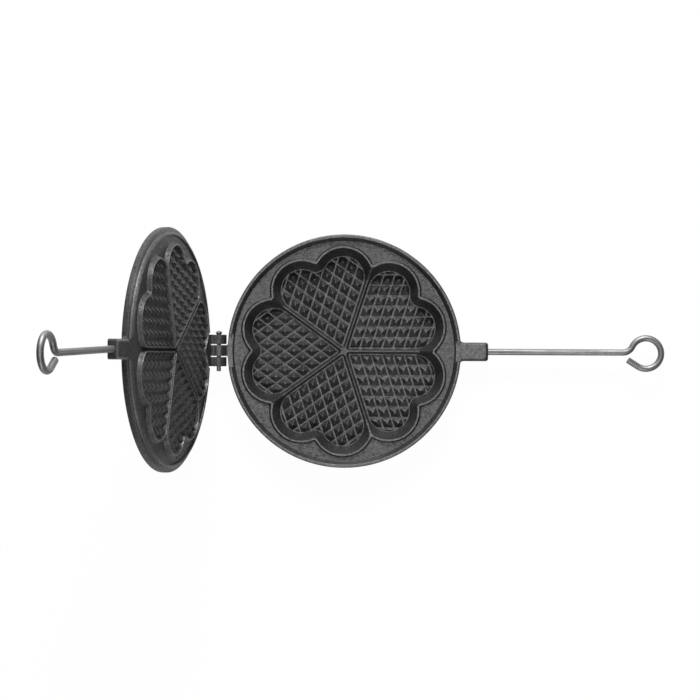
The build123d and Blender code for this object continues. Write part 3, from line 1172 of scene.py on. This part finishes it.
@dataclass
class HeartCasting:
    """What the two cast plates share: five hearts, each with its pyramids, inside a round rim."""

    iron: bpy.types.Material
    plan: HeartPlan = HeartPlan()
    hinge: Hinge = Hinge()
    lug: Lug = Lug()
    row_pitch: float = 9.95
    row_count: int = 9
    field_reach: float = 100.0
    valley_width: float = 1.3
    crown_width: float = 1.1
    pyramid_edge: float = 0.2
    sink: float = 0.5
    pad_past: float = 0.1
    weld: float = 0.002
    edge: float = 0.32
    flat_row: float = 60.0

    def five_fold(self) -> GeometryTree:
        """The tree that sets one heart's share of a plate all round its centre.

        Returns:
            The tree.
        """
        tree = GeometryTree("five_fold", {"Hearts": int, "Weld": float})
        ring = tree.around(tree.entry.outputs["Geometry"], tree.value("Hearts"), self.plan.rib_angle)
        inputs = {"Geometry": ring, "Distance": tree.value("Weld")}
        tree.close(tree.node("GeometryNodeMergeByDistance", inputs).outputs[0])
        return tree

    def pyramid_tree(self) -> GeometryTree:
        """The tree that sets pyramids in rows along a heart's two sides, trims them and repeats them.

        Returns:
            The tree.
        """
        inputs = {"Pad": bpy.types.Object, "Hearts": int, "Rows": int, "Pitch": float, "Start": float}
        tree = GeometryTree("pyramid_rows", inputs)
        rows, pitch, start = tree.value("Rows"), tree.value("Pitch"), tree.value("Start")
        points = tree.node("GeometryNodePoints", {"Count": rows * rows})
        index = Sock(tree, tree.node("GeometryNodeInputIndex").outputs[0])
        from_left = start + (index % rows) * pitch
        from_right = start + (index / rows).whole() * pitch
        angle = math.radians(self.plan.rib_angle)
        along = (from_left + from_right) * (0.5 / math.sin(angle))
        across = (from_left - from_right) * (0.5 / math.cos(angle))
        spot = tree.node("ShaderNodeCombineXYZ", {"X": along, "Y": across})
        laid = tree.node(
            "GeometryNodeSetPosition", {"Geometry": points.outputs[0], "Position": spot.outputs[0]}
        )
        reach = along * along + across * across
        inside = tree.node(
            "GeometryNodeDeleteGeometry",
            {"Geometry": laid.outputs[0], "Selection": reach.above((self.field_reach * MM) ** 2)},
            domain="POINT",
        )
        spread = tree.node(
            "GeometryNodeInstanceOnPoints",
            {"Points": inside.outputs[0], "Instance": tree.entry.outputs["Geometry"]},
        )
        whole = tree.node("GeometryNodeRealizeInstances", {0: spread.outputs[0]})
        pad = tree.node("GeometryNodeObjectInfo", {"Object": tree.entry.outputs["Pad"]})
        trimmed = tree.node(
            "GeometryNodeMeshBoolean",
            {"Mesh 2": [whole.outputs[0], pad.outputs["Geometry"]]},
            operation="INTERSECT",
            solver="EXACT",
        )
        tree.close(tree.around(trimmed.outputs[0], tree.value("Hearts"), self.plan.rib_angle))
        return tree

    def pyramid(self, floor: float, rise: float) -> bpy.types.Mesh:
        """One pyramid, its foot's sides along the heart's two ribs.

        Args:
            floor: The height it stands on.
            rise: Its height, negative where it hangs down.

        Returns:
            The pyramid's mesh.
        """
        angle = math.radians(self.plan.rib_angle)

        def ring(half: float, height: float) -> list[Vector]:
            """The pyramid's section at a height.

            Args:
                half: Half the section's width.
                height: Its height.

            Returns:
                Its four corners.
            """
            corners = [(half, half), (half, -half), (-half, -half), (-half, half)]
            spots = [((a + b) / 2 / math.sin(angle), (a - b) / 2 / math.cos(angle)) for a, b in corners]
            return at_height(spots, height)

        foot = (self.row_pitch - self.valley_width) / 2
        down = math.copysign(self.sink, rise)
        rows = [ring(foot, floor - down), ring(foot, floor), ring(self.crown_width / 2, floor + rise)]
        skin = Skin()
        skin.stack(rows)
        return softened(skin.mesh("pyramid"), self.pyramid_edge, angle=20.0)

    def relief(self, floor: float, rise: float, start: float, pad: bpy.types.Mesh) -> bpy.types.Mesh:
        """All five hearts' pyramids.

        Args:
            floor: The height they stand on.
            rise: Their height, negative where they hang down.
            start: The first pyramid's distance from a rib's line.
            pad: The closed mesh that trims one heart's pyramids.

        Returns:
            The pyramids' mesh.
        """
        trimmer = linked("pad", pad)
        values = {
            "Pad": trimmer,
            "Hearts": self.plan.count,
            "Rows": self.row_count,
            "Pitch": self.row_pitch * MM,
            "Start": start * MM,
        }
        mesh = self.pyramid_tree().bake(self.pyramid(floor, rise), values, self.iron)
        bpy.data.objects.remove(trimmer)
        return mesh

    def whole(self, name: str, share: Skin) -> bpy.types.Mesh:
        """A plate's round casting from one heart's half share.

        Args:
            name: The casting's name.
            share: The half share, on the +Y side of the heart's axis.

        Returns:
            The casting, with its edges softened.
        """
        share.mirror()
        values = {"Hearts": self.plan.count, "Weld": self.weld * MM}
        ring = self.five_fold().bake(share.mesh(name), values, self.iron)
        return softened(welded(ring), self.edge)

    def rim_rows(self, profile: Sequence[Point2], steps: int) -> list[list[Vector]]:
        """Rows round half a heart's share of the rim.

        Args:
            profile: The rim's section as (radius, height).
            steps: Faces along the row.

        Returns:
            One row for each point of the section, from the rib's line to the heart's axis.
        """
        turns = [math.radians(self.plan.rib_angle * (1 - i / steps)) for i in range(steps + 1)]
        return [[Vector((r * math.cos(t), r * math.sin(t), z)) for t in turns] for r, z in profile]


# ---------------------------------------------------------------- the lower plate


@dataclass
class LowerPlate(HeartCasting):
    """The lower casting: deep heart pockets inside a bead, an overflow land and a lip."""

    radius: float = 110.0
    floor: float = 4.5
    crest: float = 18.9
    land: float = 16.5
    lip: float = 21.3
    pocket_lobe: float = 27.4
    pocket_notch: float = 3.0
    wall_run: float = 7.0
    tip_round: float = 1.5
    bead_width: float = 1.5
    bead_foot: float = 1.6
    bead_notch: float = 1.6
    bead_cusp: float = 2.0
    lip_width: float = 2.9
    lip_draft: float = 3.2
    lip_inner_round: float = 0.7
    lip_outer_round: float = 1.2
    base_round: float = 3.0
    rib_crest: float = 8.5
    rib_end: float = 71.5
    rib_top: float = 83.6
    first_row: float = 3.1
    pyramid_height: float = 3.8
    field_margin: float = 0.8
    band: float = 13.5
    base_radius: float = 94.0
    seat_inner: float = 103.4
    seat_outer: float = 112.0
    seat_top: float = 24.0
    web_start: float = 107.0
    hinge_seat: float = 15.6
    lug_seat: float = 9.5
    web_drop: float = 5.5
    web_rise: float = 1.7
    web_root: float = 2.0
    stop_gap: float = 0.25
    stop_start: float = 2.6
    stop_end: float = 12.0
    stop_depth: float = 4.5
    nose_foot: float = 120.0
    steps: tuple[int, ...] = (5, 12, 0, 8, 22, 7)
    pad_steps: tuple[int, ...] = (5, 10, 0, 8, 18, 6)
    pad_split: float = 60.0
    cusp_steps: int = 5

    @classmethod
    def wear_and_highlights(cls) -> tuple[BrightBand, ...]:
        """The heights painted brighter: bead, lip, pyramids, pocket floor and land, a painted highlight
        where they face the light, with some wear on the bead and lip.

        Returns:
            The heights painted brighter.
        """
        return (
            BrightBand(cls.crest),
            BrightBand(cls.lip),
            BrightBand(cls.floor + cls.pyramid_height),
            BrightBand(cls.floor - 0.15),
            BrightBand(cls.land, band=0.4, share=0.12),
        )

    def dish(self, radius: float) -> float:
        """The height to which the ribs are cut down at a radius."""
        slope = (self.crest - self.rib_crest) / (self.rib_top - self.rib_end)
        return min(self.crest, self.rib_crest + slope * max(0.0, radius - self.rib_end))

    def pocket(self, inset: float) -> HeartOutline:
        """A pocket's outline.

        Args:
            inset: How far it is drawn in from the bead's crest.

        Returns:
            The outline.
        """
        lobe, notch = self.pocket_lobe - inset, self.pocket_notch + inset
        tip = max(0.2, self.tip_round + self.wall_run - inset)
        return HeartOutline(self.plan, lobe, notch, self.plan.lobe_off - lobe, tip)

    def walls(self, split: float) -> tuple[list[Vector], list[Vector]]:
        """The pocket wall's foot and top.

        Args:
            split: The lobe's angle where the ribs' cut meets the bead.

        Returns:
            The floor outline and the wall's top edge, half a heart each.
        """
        low = self.pocket(self.wall_run).half(split, self.steps)
        high = self.pocket(0.0).half(split, self.steps)
        halvings, just_under = 30, self.crest - 1e-4
        top = []
        for near, far in zip(at_height(low, self.floor), at_height(high, self.crest)):
            share, reach = 0.0, 1.0
            for _ in range(halvings):
                middle = (share + reach) / 2
                point = near.lerp(far, middle)
                if self.dish(math.hypot(point.x, point.y)) - 1e-6 < point.z < just_under:
                    reach = middle
                else:
                    share = middle
            top.append(near.lerp(far, reach))
        return at_height(low, self.floor), top

    def share(self) -> Skin:
        """Half of one heart's share of the casting.

        Returns:
            The share, on the +Y side of the heart's axis.
        """
        plan, cusp, steps = self.plan, self.cusp_steps, self.steps
        ring, lobe = plan.ring_radius, self.pocket_lobe
        cosine = (self.rib_top**2 - ring**2 - lobe**2) / (2 * ring * lobe)
        split = plan.lobe_angle + math.degrees(math.acos(cosine))
        last = sum(steps[:4])
        foot, top = self.walls(split)
        skin = Skin()
        skin.fill(foot)
        skin.strip([foot, [a.lerp(b, 0.5) for a, b in zip(foot, top)], top])
        # the ribs' crests, from the walls to the rib's line
        along = Vector((*polar((0, 0), 1.0, plan.rib_angle), 0.0))
        tip_run = top[0].dot(along)
        feet = []
        for i, point in enumerate(top[: last + 1]):
            run = point.dot(along) - tip_run * max(0.0, 1 - i / steps[0])
            run = self.rib_top if i == last else run
            feet.append(Vector((run * along.x, run * along.y, self.dish(run))))
        rows = []
        for k in range(cusp + 1):
            row = [a.lerp(b, k / cusp) for a, b in zip(top[: last + 1], feet)]
            for point in row:
                point.z = self.dish(math.hypot(point.x, point.y))
            start = bearing((0, 0), (top[last].x, top[last].y))
            turn = start + (plan.rib_angle - start) * k / cusp
            row[-1] = Vector((*polar((0, 0), self.rib_top, turn), self.crest))
            rows.append(row)
        rows[0] = top[: last + 1]
        skin.strip(rows)
        # the bead, the land and the rim
        inner = [row[-1] for row in reversed(rows)] + top[last + 1 :]
        outline = (cusp, *steps[4:])
        bead = lobe + self.bead_width
        crest = FlowerOutline(plan, bead, self.bead_notch, self.bead_cusp).half(outline)
        skirt = FlowerOutline(plan, bead + self.bead_foot, self.bead_notch, self.bead_cusp).half(outline)
        lip_edge = self.radius - self.lip_width
        profile = rounded(
            [
                (lip_edge - self.lip_draft, self.land),
                (lip_edge, self.lip),
                (self.radius, self.lip),
                (self.radius, self.band),
                (self.base_radius, 0.0),
                (self.flat_row, 0.0),
                (0.0, 0.0),
            ],
            [self.lip_inner_round, self.lip_outer_round, self.base_round, self.base_round, KEEN],
        )
        rows = [inner, at_height(crest, self.crest), at_height(skirt, self.land)]
        skin.strip(rows + self.rim_rows(profile, sum(outline)))
        return skin

    def pad(self) -> bpy.types.Mesh:
        """What trims a heart's pyramids: the pocket's floor less its margin, drawn in towards the top.

        Returns:
            The trimmer's mesh.
        """
        slope = (self.row_pitch - self.valley_width - self.crown_width) / 2 / self.pyramid_height
        rows = []
        for height in (-self.sink - self.pad_past, self.pyramid_height + SKIP):
            outline = self.pocket(self.wall_run + self.field_margin + slope * height)
            half = outline.half(self.pad_split, self.pad_steps)
            rows.append(at_height(half + mirrored(half[1:-1]), self.floor + height))
        skin = Skin()
        skin.stack(rows)
        return skin.mesh("pad")

    def knuckle(self) -> bpy.types.Mesh:
        """The middle knuckle with its web and the stop nose that the opened upper plate leans on.

        Returns:
            The knuckle's mesh.
        """
        hinge = self.hinge
        top = hinge.reach - self.radius - self.stop_gap
        nose = [(top, self.stop_start), (top, self.stop_end), (top - self.stop_depth, self.stop_end)]
        nose = [polar((0, 0), math.hypot(*spot), bearing((0, 0), spot) + hinge.opening) for spot in nose]
        radius = hinge.knuckle_radius
        web_leave = math.degrees(math.asin(self.web_rise / radius))
        web_meet = 360 - math.degrees(math.asin(self.web_drop / radius))
        outline = [polar((0, 0), radius, web_leave)]
        outline += arc((0, 0), radius, web_leave, bearing((0, 0), nose[0]), 15)
        nose_meet = self.nose_foot + hinge.opening
        outline += nose + [polar((0, 0), radius, nose_meet)]
        outline += arc((0, 0), radius, nose_meet, web_meet, 12)
        root = hinge.reach - self.web_start
        outline += [(root, -self.web_drop), (root, self.web_rise)]
        return hinge.slab(outline, 0.0, hinge.middle_width)

    def build(self) -> bpy.types.Object:
        """Builds and places the lower plate.

        Returns:
            The finished piece.
        """
        hinge, lug, top = self.hinge, self.lug, self.crest
        casting = combined(
            self.whole("lower_casting", self.share()),
            Join.CUT,
            rim_block(self.seat_inner, self.seat_outer, self.hinge_seat, -1, top, self.seat_top),
            rim_block(self.seat_inner, self.seat_outer, self.lug_seat, 1, top, self.seat_top),
        )
        web_half, web_top = hinge.middle_width / 2 - SKIP, hinge.height + self.web_rise
        casting = combined(
            casting,
            Join.ADD,
            lug.block(top - lug.thickness, top - SKIP, 1, self.band, top - lug.slope_drop - 3 * SKIP),
            root_flare(web_half, self.web_root, -1, web_top - self.web_rise, web_top - SKIP),
            self.knuckle(),
        )
        casting = combined(
            casting,
            Join.CUT,
            hinge.bore(hinge.middle_width + 2),
            lug.socket(lug.wire_plane(top - lug.wire_depth)),
        )
        start = self.first_row + self.row_pitch / 2
        rows = self.relief(self.floor, self.pyramid_height, start, self.pad())
        mesh = finished(marked(joined("lower_plate_casting", casting, rows)), self.iron)
        return place_piece("lower_plate_casting", mesh, Body.LOWER, "lower_plate")


# ---------------------------------------------------------------- the upper plate


@dataclass(frozen=True)
class BossLine:
    """One of the outlines of a heart boss, from its foot to its recess's floor.

    The inset is how far the lobes lie inside the foot, the side is half the gap to the next heart, and
    the corner is the rounding where a lobe runs into the straight side.
    """

    inset: float
    side: float
    corner: float


@dataclass
class UpperPlate(HeartCasting):
    """The upper casting: five heart bosses with pyramids in them, a tongue ring and a dished back."""

    radius: float = 110.0
    face: float = 19.2
    boss: float = 15.0
    recess: float = 18.8
    tongue: float = 17.8
    step: float = 21.6
    back: float = 27.3
    back_ring: float = 13.0
    dish_run: float = 3.0
    dish_depth: float = 3.4
    back_round: float = 1.5
    edge_round: float = 0.4
    tongue_radius: float = 105.3
    tongue_draft: float = 1.1
    tongue_top: float = 1.6
    tongue_gap_inner: float = 101.0
    tongue_gap_past: float = 0.3
    tongue_gap_depth: float = 1.0
    bed_overlap: float = 0.4
    bed_rise: float = 0.6
    bed_inset: float = 0.03
    flare_inset: float = 0.1
    boss_lobe: float = 26.9
    boss_notch: float = 2.0
    boss_tip: float = 0.4
    boss_split: float = 20.0
    foot_line: BossLine = BossLine(0.0, 0.4, 10.3)
    rim_line: BossLine = BossLine(2.3, 1.5, 8.0)
    mouth_line: BossLine = BossLine(3.4, 2.6, 6.9)
    bed_line: BossLine = BossLine(4.0, 3.2, 6.3)
    pad_line: BossLine = BossLine(3.65, 2.85, 6.7)
    first_row: float = 3.1
    pyramid_height: float = 3.4
    arm_half: float = 14.9
    side_gap: float = 0.7
    arm_grip: float = 4.0
    arm_lean: float = 30.0
    wire_lean: float = -0.8
    wire_skew: float = -1.6
    steps: tuple[int, ...] = (4, 14, 8, 8, 14, 6)

    @classmethod
    def wear_and_highlights(cls) -> tuple[BrightBand, ...]:
        """The heights painted brighter: boss rims, pyramids, recess floors and the tongue's wall, a
        painted highlight where they face the light, with some wear on the boss rims.

        Returns:
            The heights painted brighter.
        """
        return (
            BrightBand(cls.boss),
            BrightBand(cls.recess - cls.pyramid_height),
            BrightBand(cls.recess - 0.1, band=0.25),
            BrightBand(cls.step - 0.9, band=1.3, share=1.0),
        )

    @property
    def wire_frame(self) -> Matrix:
        """The frame of the wire in the shut plate's lug, which stands a little askew."""
        return self.lug.wire_plane(self.face + self.lug.wire_depth, self.wire_lean, self.wire_skew)

    def outline(self, line: BossLine) -> list[Point2]:
        """Half a boss's outline.

        Args:
            line: Which outline.

        Returns:
            The points, from the heart's tip to its notch.
        """
        lobe, notch = self.boss_lobe - line.inset, self.boss_notch + line.inset
        heart = HeartOutline(self.plan, lobe, notch, line.side, self.boss_tip, line.corner)
        return heart.half(self.boss_split, self.steps)

    def share(self) -> Skin:
        """Half of one heart's share of the casting.

        Returns:
            The share, on the +Y side of the heart's axis.
        """
        plan, steps = self.plan, self.steps
        foot = at_height(self.outline(self.foot_line), self.face)
        rim = at_height(self.outline(self.rim_line), self.boss)
        mouth = at_height(self.outline(self.mouth_line), self.boss)
        bed = at_height(self.outline(self.bed_line), self.recess)
        skin = Skin()
        skin.fill(bed)
        skin.strip([bed, mouth, rim, foot])
        # the groove between two bosses, from the foot to the rib's line
        last = steps[0] + steps[1]
        along = Vector((*polar((0, 0), 1.0, plan.rib_angle), 0.0))
        tip_run = foot[0].dot(along)
        line = []
        for i, point in enumerate(foot[: last + 1]):
            run = point.dot(along) - tip_run * max(0.0, 1 - i / steps[0])
            line.append(Vector((run * along.x, run * along.y, self.face)))
        skin.strip([foot[: last + 1], line])
        # the land, the tongue, the stepped rim and the dished back
        crest = self.tongue_radius - self.tongue_draft
        inner = crest - self.tongue_top
        small, large = self.edge_round, self.back_round
        ring, dish = self.radius - self.back_ring, self.back - self.dish_depth
        profile = rounded(
            [
                (inner - self.tongue_draft / 2, self.face),
                (inner, self.tongue),
                (crest, self.tongue),
                (self.tongue_radius, self.face),
                (self.tongue_radius, self.step),
                (self.radius, self.step),
                (self.radius, self.back),
                (ring, self.back),
                (ring - self.dish_run, dish),
                (self.flat_row, dish),
                (0.0, dish),
            ],
            [small, small, KEEN, KEEN, small, large, large, large, KEEN],
        )
        rows = self.rim_rows(profile, len(foot) - 1 - last)
        skin.strip([foot[last:]] + rows)
        skin.fill([foot[last], line[-1], rows[0][0]])
        return skin

    def pad(self) -> bpy.types.Mesh:
        """What trims a heart's pyramids: a block that reaches a little into the recess's walls.

        Returns:
            The trimmer's mesh.
        """
        half = self.outline(self.pad_line)
        low, high = self.recess - self.pyramid_height - SKIP, self.recess + self.sink + self.pad_past
        return prism("pad", half + mirrored(half[1:-1]), low, high)

    def arm(self, middle: float) -> bpy.types.Mesh:
        """An outer knuckle with its arm, which runs up to the plate's back and tangent to the barrel.

        Args:
            middle: The arm's middle along Y.

        Returns:
            The arm's mesh.
        """
        hinge = self.hinge
        radius, lean = hinge.knuckle_radius, math.radians(self.arm_lean)
        face, back = self.face + SKIP - hinge.height, self.back - SKIP - hinge.height
        grip = hinge.reach - self.radius + self.arm_grip
        leave = 180 - self.arm_lean
        outline = [polar((0, 0), radius, leave)] + arc((0, 0), radius, leave, 360, 28)
        outline += [(radius, face), (grip, face), (grip, back)]
        outline.append((back * math.tan(lean) - radius / math.cos(lean), back))
        return hinge.slab(outline, middle, hinge.knuckle_width)

    def build(self) -> bpy.types.Object:
        """Builds the upper plate shut, turns it back and places it.

        Returns:
            The finished piece.
        """
        hinge, lug = self.hinge, self.lug
        sides = ((-1, self.arm_half), (1, lug.width / 2))
        face, bed_top = self.face + SKIP, self.step + self.bed_rise
        bed = (self.tongue_radius - self.bed_overlap, self.radius - self.bed_inset)
        flare = (self.step + self.flare_inset, self.back - self.back_round)
        casting = combined(
            self.whole("upper_casting", self.share()),
            Join.ADD,
            *(rim_block(*bed, half - SKIP, side, face, bed_top) for side, half in sides),
            lug.block(face + SKIP, face + lug.thickness, -1, *flare),
            self.arm(hinge.knuckle_step),
            self.arm(-hinge.knuckle_step),
        )
        gap = (self.tongue_gap_inner, self.tongue_radius + self.tongue_gap_past)
        low, high = self.tongue - self.tongue_gap_depth, face - 2 * SKIP
        casting = combined(
            casting,
            Join.CUT,
            *(rim_block(*gap, half + 2 * self.side_gap, side, low, high) for side, half in sides),
            hinge.bore(2 * self.arm_half + 2),
            lug.socket(self.wire_frame),
        )
        rows = self.relief(self.recess, -self.pyramid_height, self.first_row, self.pad())
        mesh = finished(marked(joined("upper_plate_casting", casting, rows)), self.iron)
        mesh.transform(in_metres(hinge.opened))
        return place_piece("upper_plate_casting", mesh, Body.UPPER, "upper_plate")


# ---------------------------------------------------------------- handles and pin


@dataclass
class WireHandle:
    """A round bar that runs straight out of its lug and is bent into an eye."""

    wire: bpy.types.Material
    eye_reach: float
    eye_offset: float
    lug: Lug = Lug()
    eye_radius: float = 14.4
    bend_radius: float = 10.0
    eye_end: float = -122.5
    tip_length: float = 11.2
    chamfer: float = 0.4
    sides: int = 36

    def path(self) -> list[Point2]:
        """The wire's centreline in its own plane, from inside the lug to the eye's tip.

        Returns:
            The centreline's points.
        """
        eye = (self.eye_reach - self.lug.reach, self.eye_offset)
        rise = self.bend_radius - self.eye_offset
        run = math.sqrt((self.eye_radius + self.bend_radius) ** 2 - rise**2)
        bend = (eye[0] - run, self.bend_radius)
        turn = math.degrees(math.atan2(-rise, run))
        start = -self.lug.socket_depth + self.lug.clearance
        points = [(start + (bend[0] - start) * i / 12, 0.0) for i in range(13)]
        points += arc(bend, self.bend_radius, -90.0, turn, 10)
        points += arc(eye, self.eye_radius, turn + 180, self.eye_end, 72)
        end = points[-1]
        points += [polar(end, self.tip_length * i / 3, self.eye_end - 90) for i in range(1, 4)]
        return points

    def bar_tree(self) -> GeometryTree:
        """The tree that draws a round bar along a path and notes each point's place on it.

        Returns:
            The tree.
        """
        tree = GeometryTree("round_bar", {"Radius": float, "Sides": int})
        length = tree.node("GeometryNodeSplineParameter").outputs["Length"]
        spot = tree.node("GeometryNodeInputPosition").outputs[0]
        path = tree.node(
            "GeometryNodeStoreNamedAttribute",
            {"Geometry": tree.entry.outputs["Geometry"], "Name": "along", "Value": length},
            data_type="FLOAT",
        )
        ring = tree.node(
            "GeometryNodeCurvePrimitiveCircle",
            {"Resolution": tree.entry.outputs["Sides"], "Radius": tree.entry.outputs["Radius"]},
        )
        section = tree.node(
            "GeometryNodeStoreNamedAttribute",
            {"Geometry": ring.outputs[0], "Name": "across", "Value": spot},
            data_type="FLOAT_VECTOR",
        )
        bar = tree.node(
            "GeometryNodeCurveToMesh",
            {"Curve": path.outputs[0], "Profile Curve": section.outputs[0], "Fill Caps": True},
        )
        tree.close(bar.outputs[0])
        return tree

    def build(self, name: str, node: str, body: Body, frame: Matrix) -> bpy.types.Object:
        """Builds and places one handle.

        Args:
            name: The piece's name.
            node: The CAD node it stands for.
            body: The body it rides on.
            frame: The wire's own frame at rest, in millimetres.

        Returns:
            The handle.
        """
        curve = bpy.data.curves.new(name, "CURVE")
        curve.dimensions = "3D"
        spline = curve.splines.new("POLY")
        path = self.path()
        spline.points.add(len(path) - 1)
        for point, (x, y) in zip(spline.points, path):
            point.co = (x * MM, y * MM, 0.0, 1.0)
        values = {"Radius": self.lug.wire_radius * MM, "Sides": self.sides}
        mesh = softened(self.bar_tree().bake(curve, values, self.wire), self.chamfer, 3, 60.0)
        mesh.transform(in_metres(frame))
        return place_piece(name, finished(mesh, self.wire), body, node)


@dataclass
class HingePin:
    """The loose pin: a mushroom head at one end and a plain tail at the other."""

    steel: bpy.types.Material
    hinge: Hinge = Hinge()
    arm_half: float = 14.9
    tail: float = 4.7
    neck: float = 2.0
    head_radius: float = 3.2
    head_height: float = 1.7
    edge_round: float = 0.4
    sides: int = 40

    def build(self) -> bpy.types.Object:
        """Turns the pin's profile round its axis and places it.

        Returns:
            The pin.
        """
        radius, top = self.hinge.pin_radius, self.arm_half + self.neck
        end = -self.arm_half - self.tail
        wide, high = self.head_radius, self.head_height
        dome = (wide**2 + high**2) / (2 * high)
        middle = (0.0, top + high - dome)
        start = bearing(middle, (wide, top))
        corners = [(0.0, end), (radius, end), (radius, self.arm_half), (wide, top)]
        shank = rounded(corners, [self.edge_round, self.edge_round])
        profile = shank + arc(middle, dome, start, 90.0, 8)
        rows = []
        for r, y in profile:
            ring = [polar((0, 0), r, 360 * i / self.sides) for i in range(self.sides + 1)]
            rows.append([Vector((x - self.hinge.reach, y, z + self.hinge.height)) for x, z in ring])
        skin = Skin()
        skin.strip(rows)
        mesh = finished(skin.mesh("hinge_pin_steel", self.hinge.opened), self.steel)
        return place_piece("hinge_pin_steel", mesh, Body.UPPER, "hinge_pin")


# ---------------------------------------------------------------- stage


@dataclass(frozen=True)
class Softbox:
    """A soft rectangular lamp: its place and size in metres and its power in watts."""

    name: str
    place: Point3
    size: tuple[float, float]
    power: float


@dataclass(frozen=True)
class Studio:
    """The camera above the iron, its lamps and its pale floor."""

    eye: tuple[float, float] = (5.5, -7.2)
    roll: float = 0.3
    lift: float = 0.0126
    eye_height: float = 2216.3
    focal_pixels: float = 2330.8
    frame_pixels: float = 700.0
    sensor: float = 36.0
    far: float = 20.0
    aim: Point3 = (0.0, 0.0, 0.05)
    lamps: tuple[Softbox, ...] = (
        Softbox("back_softbox", (0.0, 1.9, 1.2), (0.9, 0.6), 73.0),
        Softbox("front_softbox", (0.0, -1.9, 1.2), (0.9, 0.7), 17.0),
        Softbox("top_softbox", (0.0, -0.2, 2.5), (0.7, 1.6), 22.0),
    )
    floor_reach: float = 6000.0
    floor_drop: float = 0.05
    floor_grey: float = 0.82
    floor_glow: float = 0.97
    surround: float = 0.01

    def camera(self) -> None:
        """Sets the camera straight above, with +Y at the top of its picture."""
        data = bpy.data.cameras.new("camera")
        data.sensor_width = self.sensor
        data.lens = self.sensor * self.focal_pixels / self.frame_pixels
        data.shift_y = self.lift
        data.clip_end = self.far
        camera = linked("camera", data)
        camera.location = (self.eye[0] * MM, self.eye[1] * MM, self.eye_height * MM)
        camera.rotation_euler = (0.0, 0.0, math.radians(self.roll))
        bpy.context.scene.camera = camera

    def hang(self, box: Softbox) -> None:
        """Hangs a lamp and turns it to the iron.

        Args:
            box: The lamp.
        """
        data = bpy.data.lights.new(box.name, "AREA")
        data.shape = "RECTANGLE"
        data.size, data.size_y = box.size
        data.energy = box.power
        lamp = linked(box.name, data)
        lamp.location = box.place
        away = Vector(self.aim) - Vector(box.place)
        lamp.rotation_euler = away.to_track_quat("-Z", "Y").to_euler()

    def floor(self) -> None:
        """A white floor that the camera sees as the photograph's ground, with a trace of shadow."""
        tree = ShaderTree("white_floor")
        seen = Sock(tree, tree.node("ShaderNodeLightPath").outputs["Is Camera Ray"])
        grey = (self.floor_grey,) * 3
        glow = tree.node("ShaderNodeEmission", {"Color": (1.0, 1.0, 1.0, 1.0), "Strength": 1.0})
        paint = tree.node("ShaderNodeBsdfDiffuse", {"Color": (*grey, 1.0)})
        parts = {0: seen * self.floor_glow, 1: paint.outputs[0], 2: glow.outputs[0]}
        mix = tree.node("ShaderNodeMixShader", parts)
        tree.node("ShaderNodeOutputMaterial", {"Surface": mix.outputs[0]})
        corners = ((-1, -1), (1, -1), (1, 1), (-1, 1))
        reach, drop = self.floor_reach, self.floor_drop
        skin = Skin()
        skin.fill([Vector((x * reach, y * reach, -drop)) for x, y in corners])
        mesh = skin.mesh("floor")
        mesh.materials.append(tree.material)
        linked("floor", mesh)

    def world(self) -> None:
        """An even pale surround."""
        world = bpy.data.worlds.new("surround")
        world.use_nodes = True
        background = world.node_tree.nodes["Background"]
        background.inputs["Color"].default_value = (1.0, 1.0, 1.0, 1.0)
        background.inputs["Strength"].default_value = self.surround
        bpy.context.scene.world = world

    def build(self) -> None:
        """Sets the whole stage."""
        bpy.context.scene.view_settings.view_transform = "Standard"
        self.camera()
        self.floor()
        self.world()
        for box in self.lamps:
            self.hang(box)


def main() -> None:
    """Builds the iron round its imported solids."""
    logging.basicConfig(level=logging.INFO, format="%(name)s: %(message)s")
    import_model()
    Studio().build()
    lower = LowerPlate(SeasonedIron("lower_iron", bright_bands=LowerPlate.wear_and_highlights()).material())
    upper = UpperPlate(SeasonedIron("upper_iron", bright_bands=UpperPlate.wear_and_highlights()).material())
    lower.build()
    upper.build()
    HingePin(DullSteel().material()).build()
    wire = DrawnWire().material()
    lower_wire = WireHandle(wire, eye_reach=285.2, eye_offset=-0.8)
    lower_frame = lower.lug.wire_plane(lower.crest - lower.lug.wire_depth)
    lower_wire.build("lower_handle_wire", "lower_handle", Body.LOWER, lower_frame)
    upper_wire = WireHandle(wire, eye_reach=284.3, eye_offset=0.7)
    upper_frame = upper.hinge.opened @ upper.wire_frame
    upper_wire.build("upper_handle_wire", "upper_handle", Body.UPPER, upper_frame)


if __name__ == "__main__":
    main()
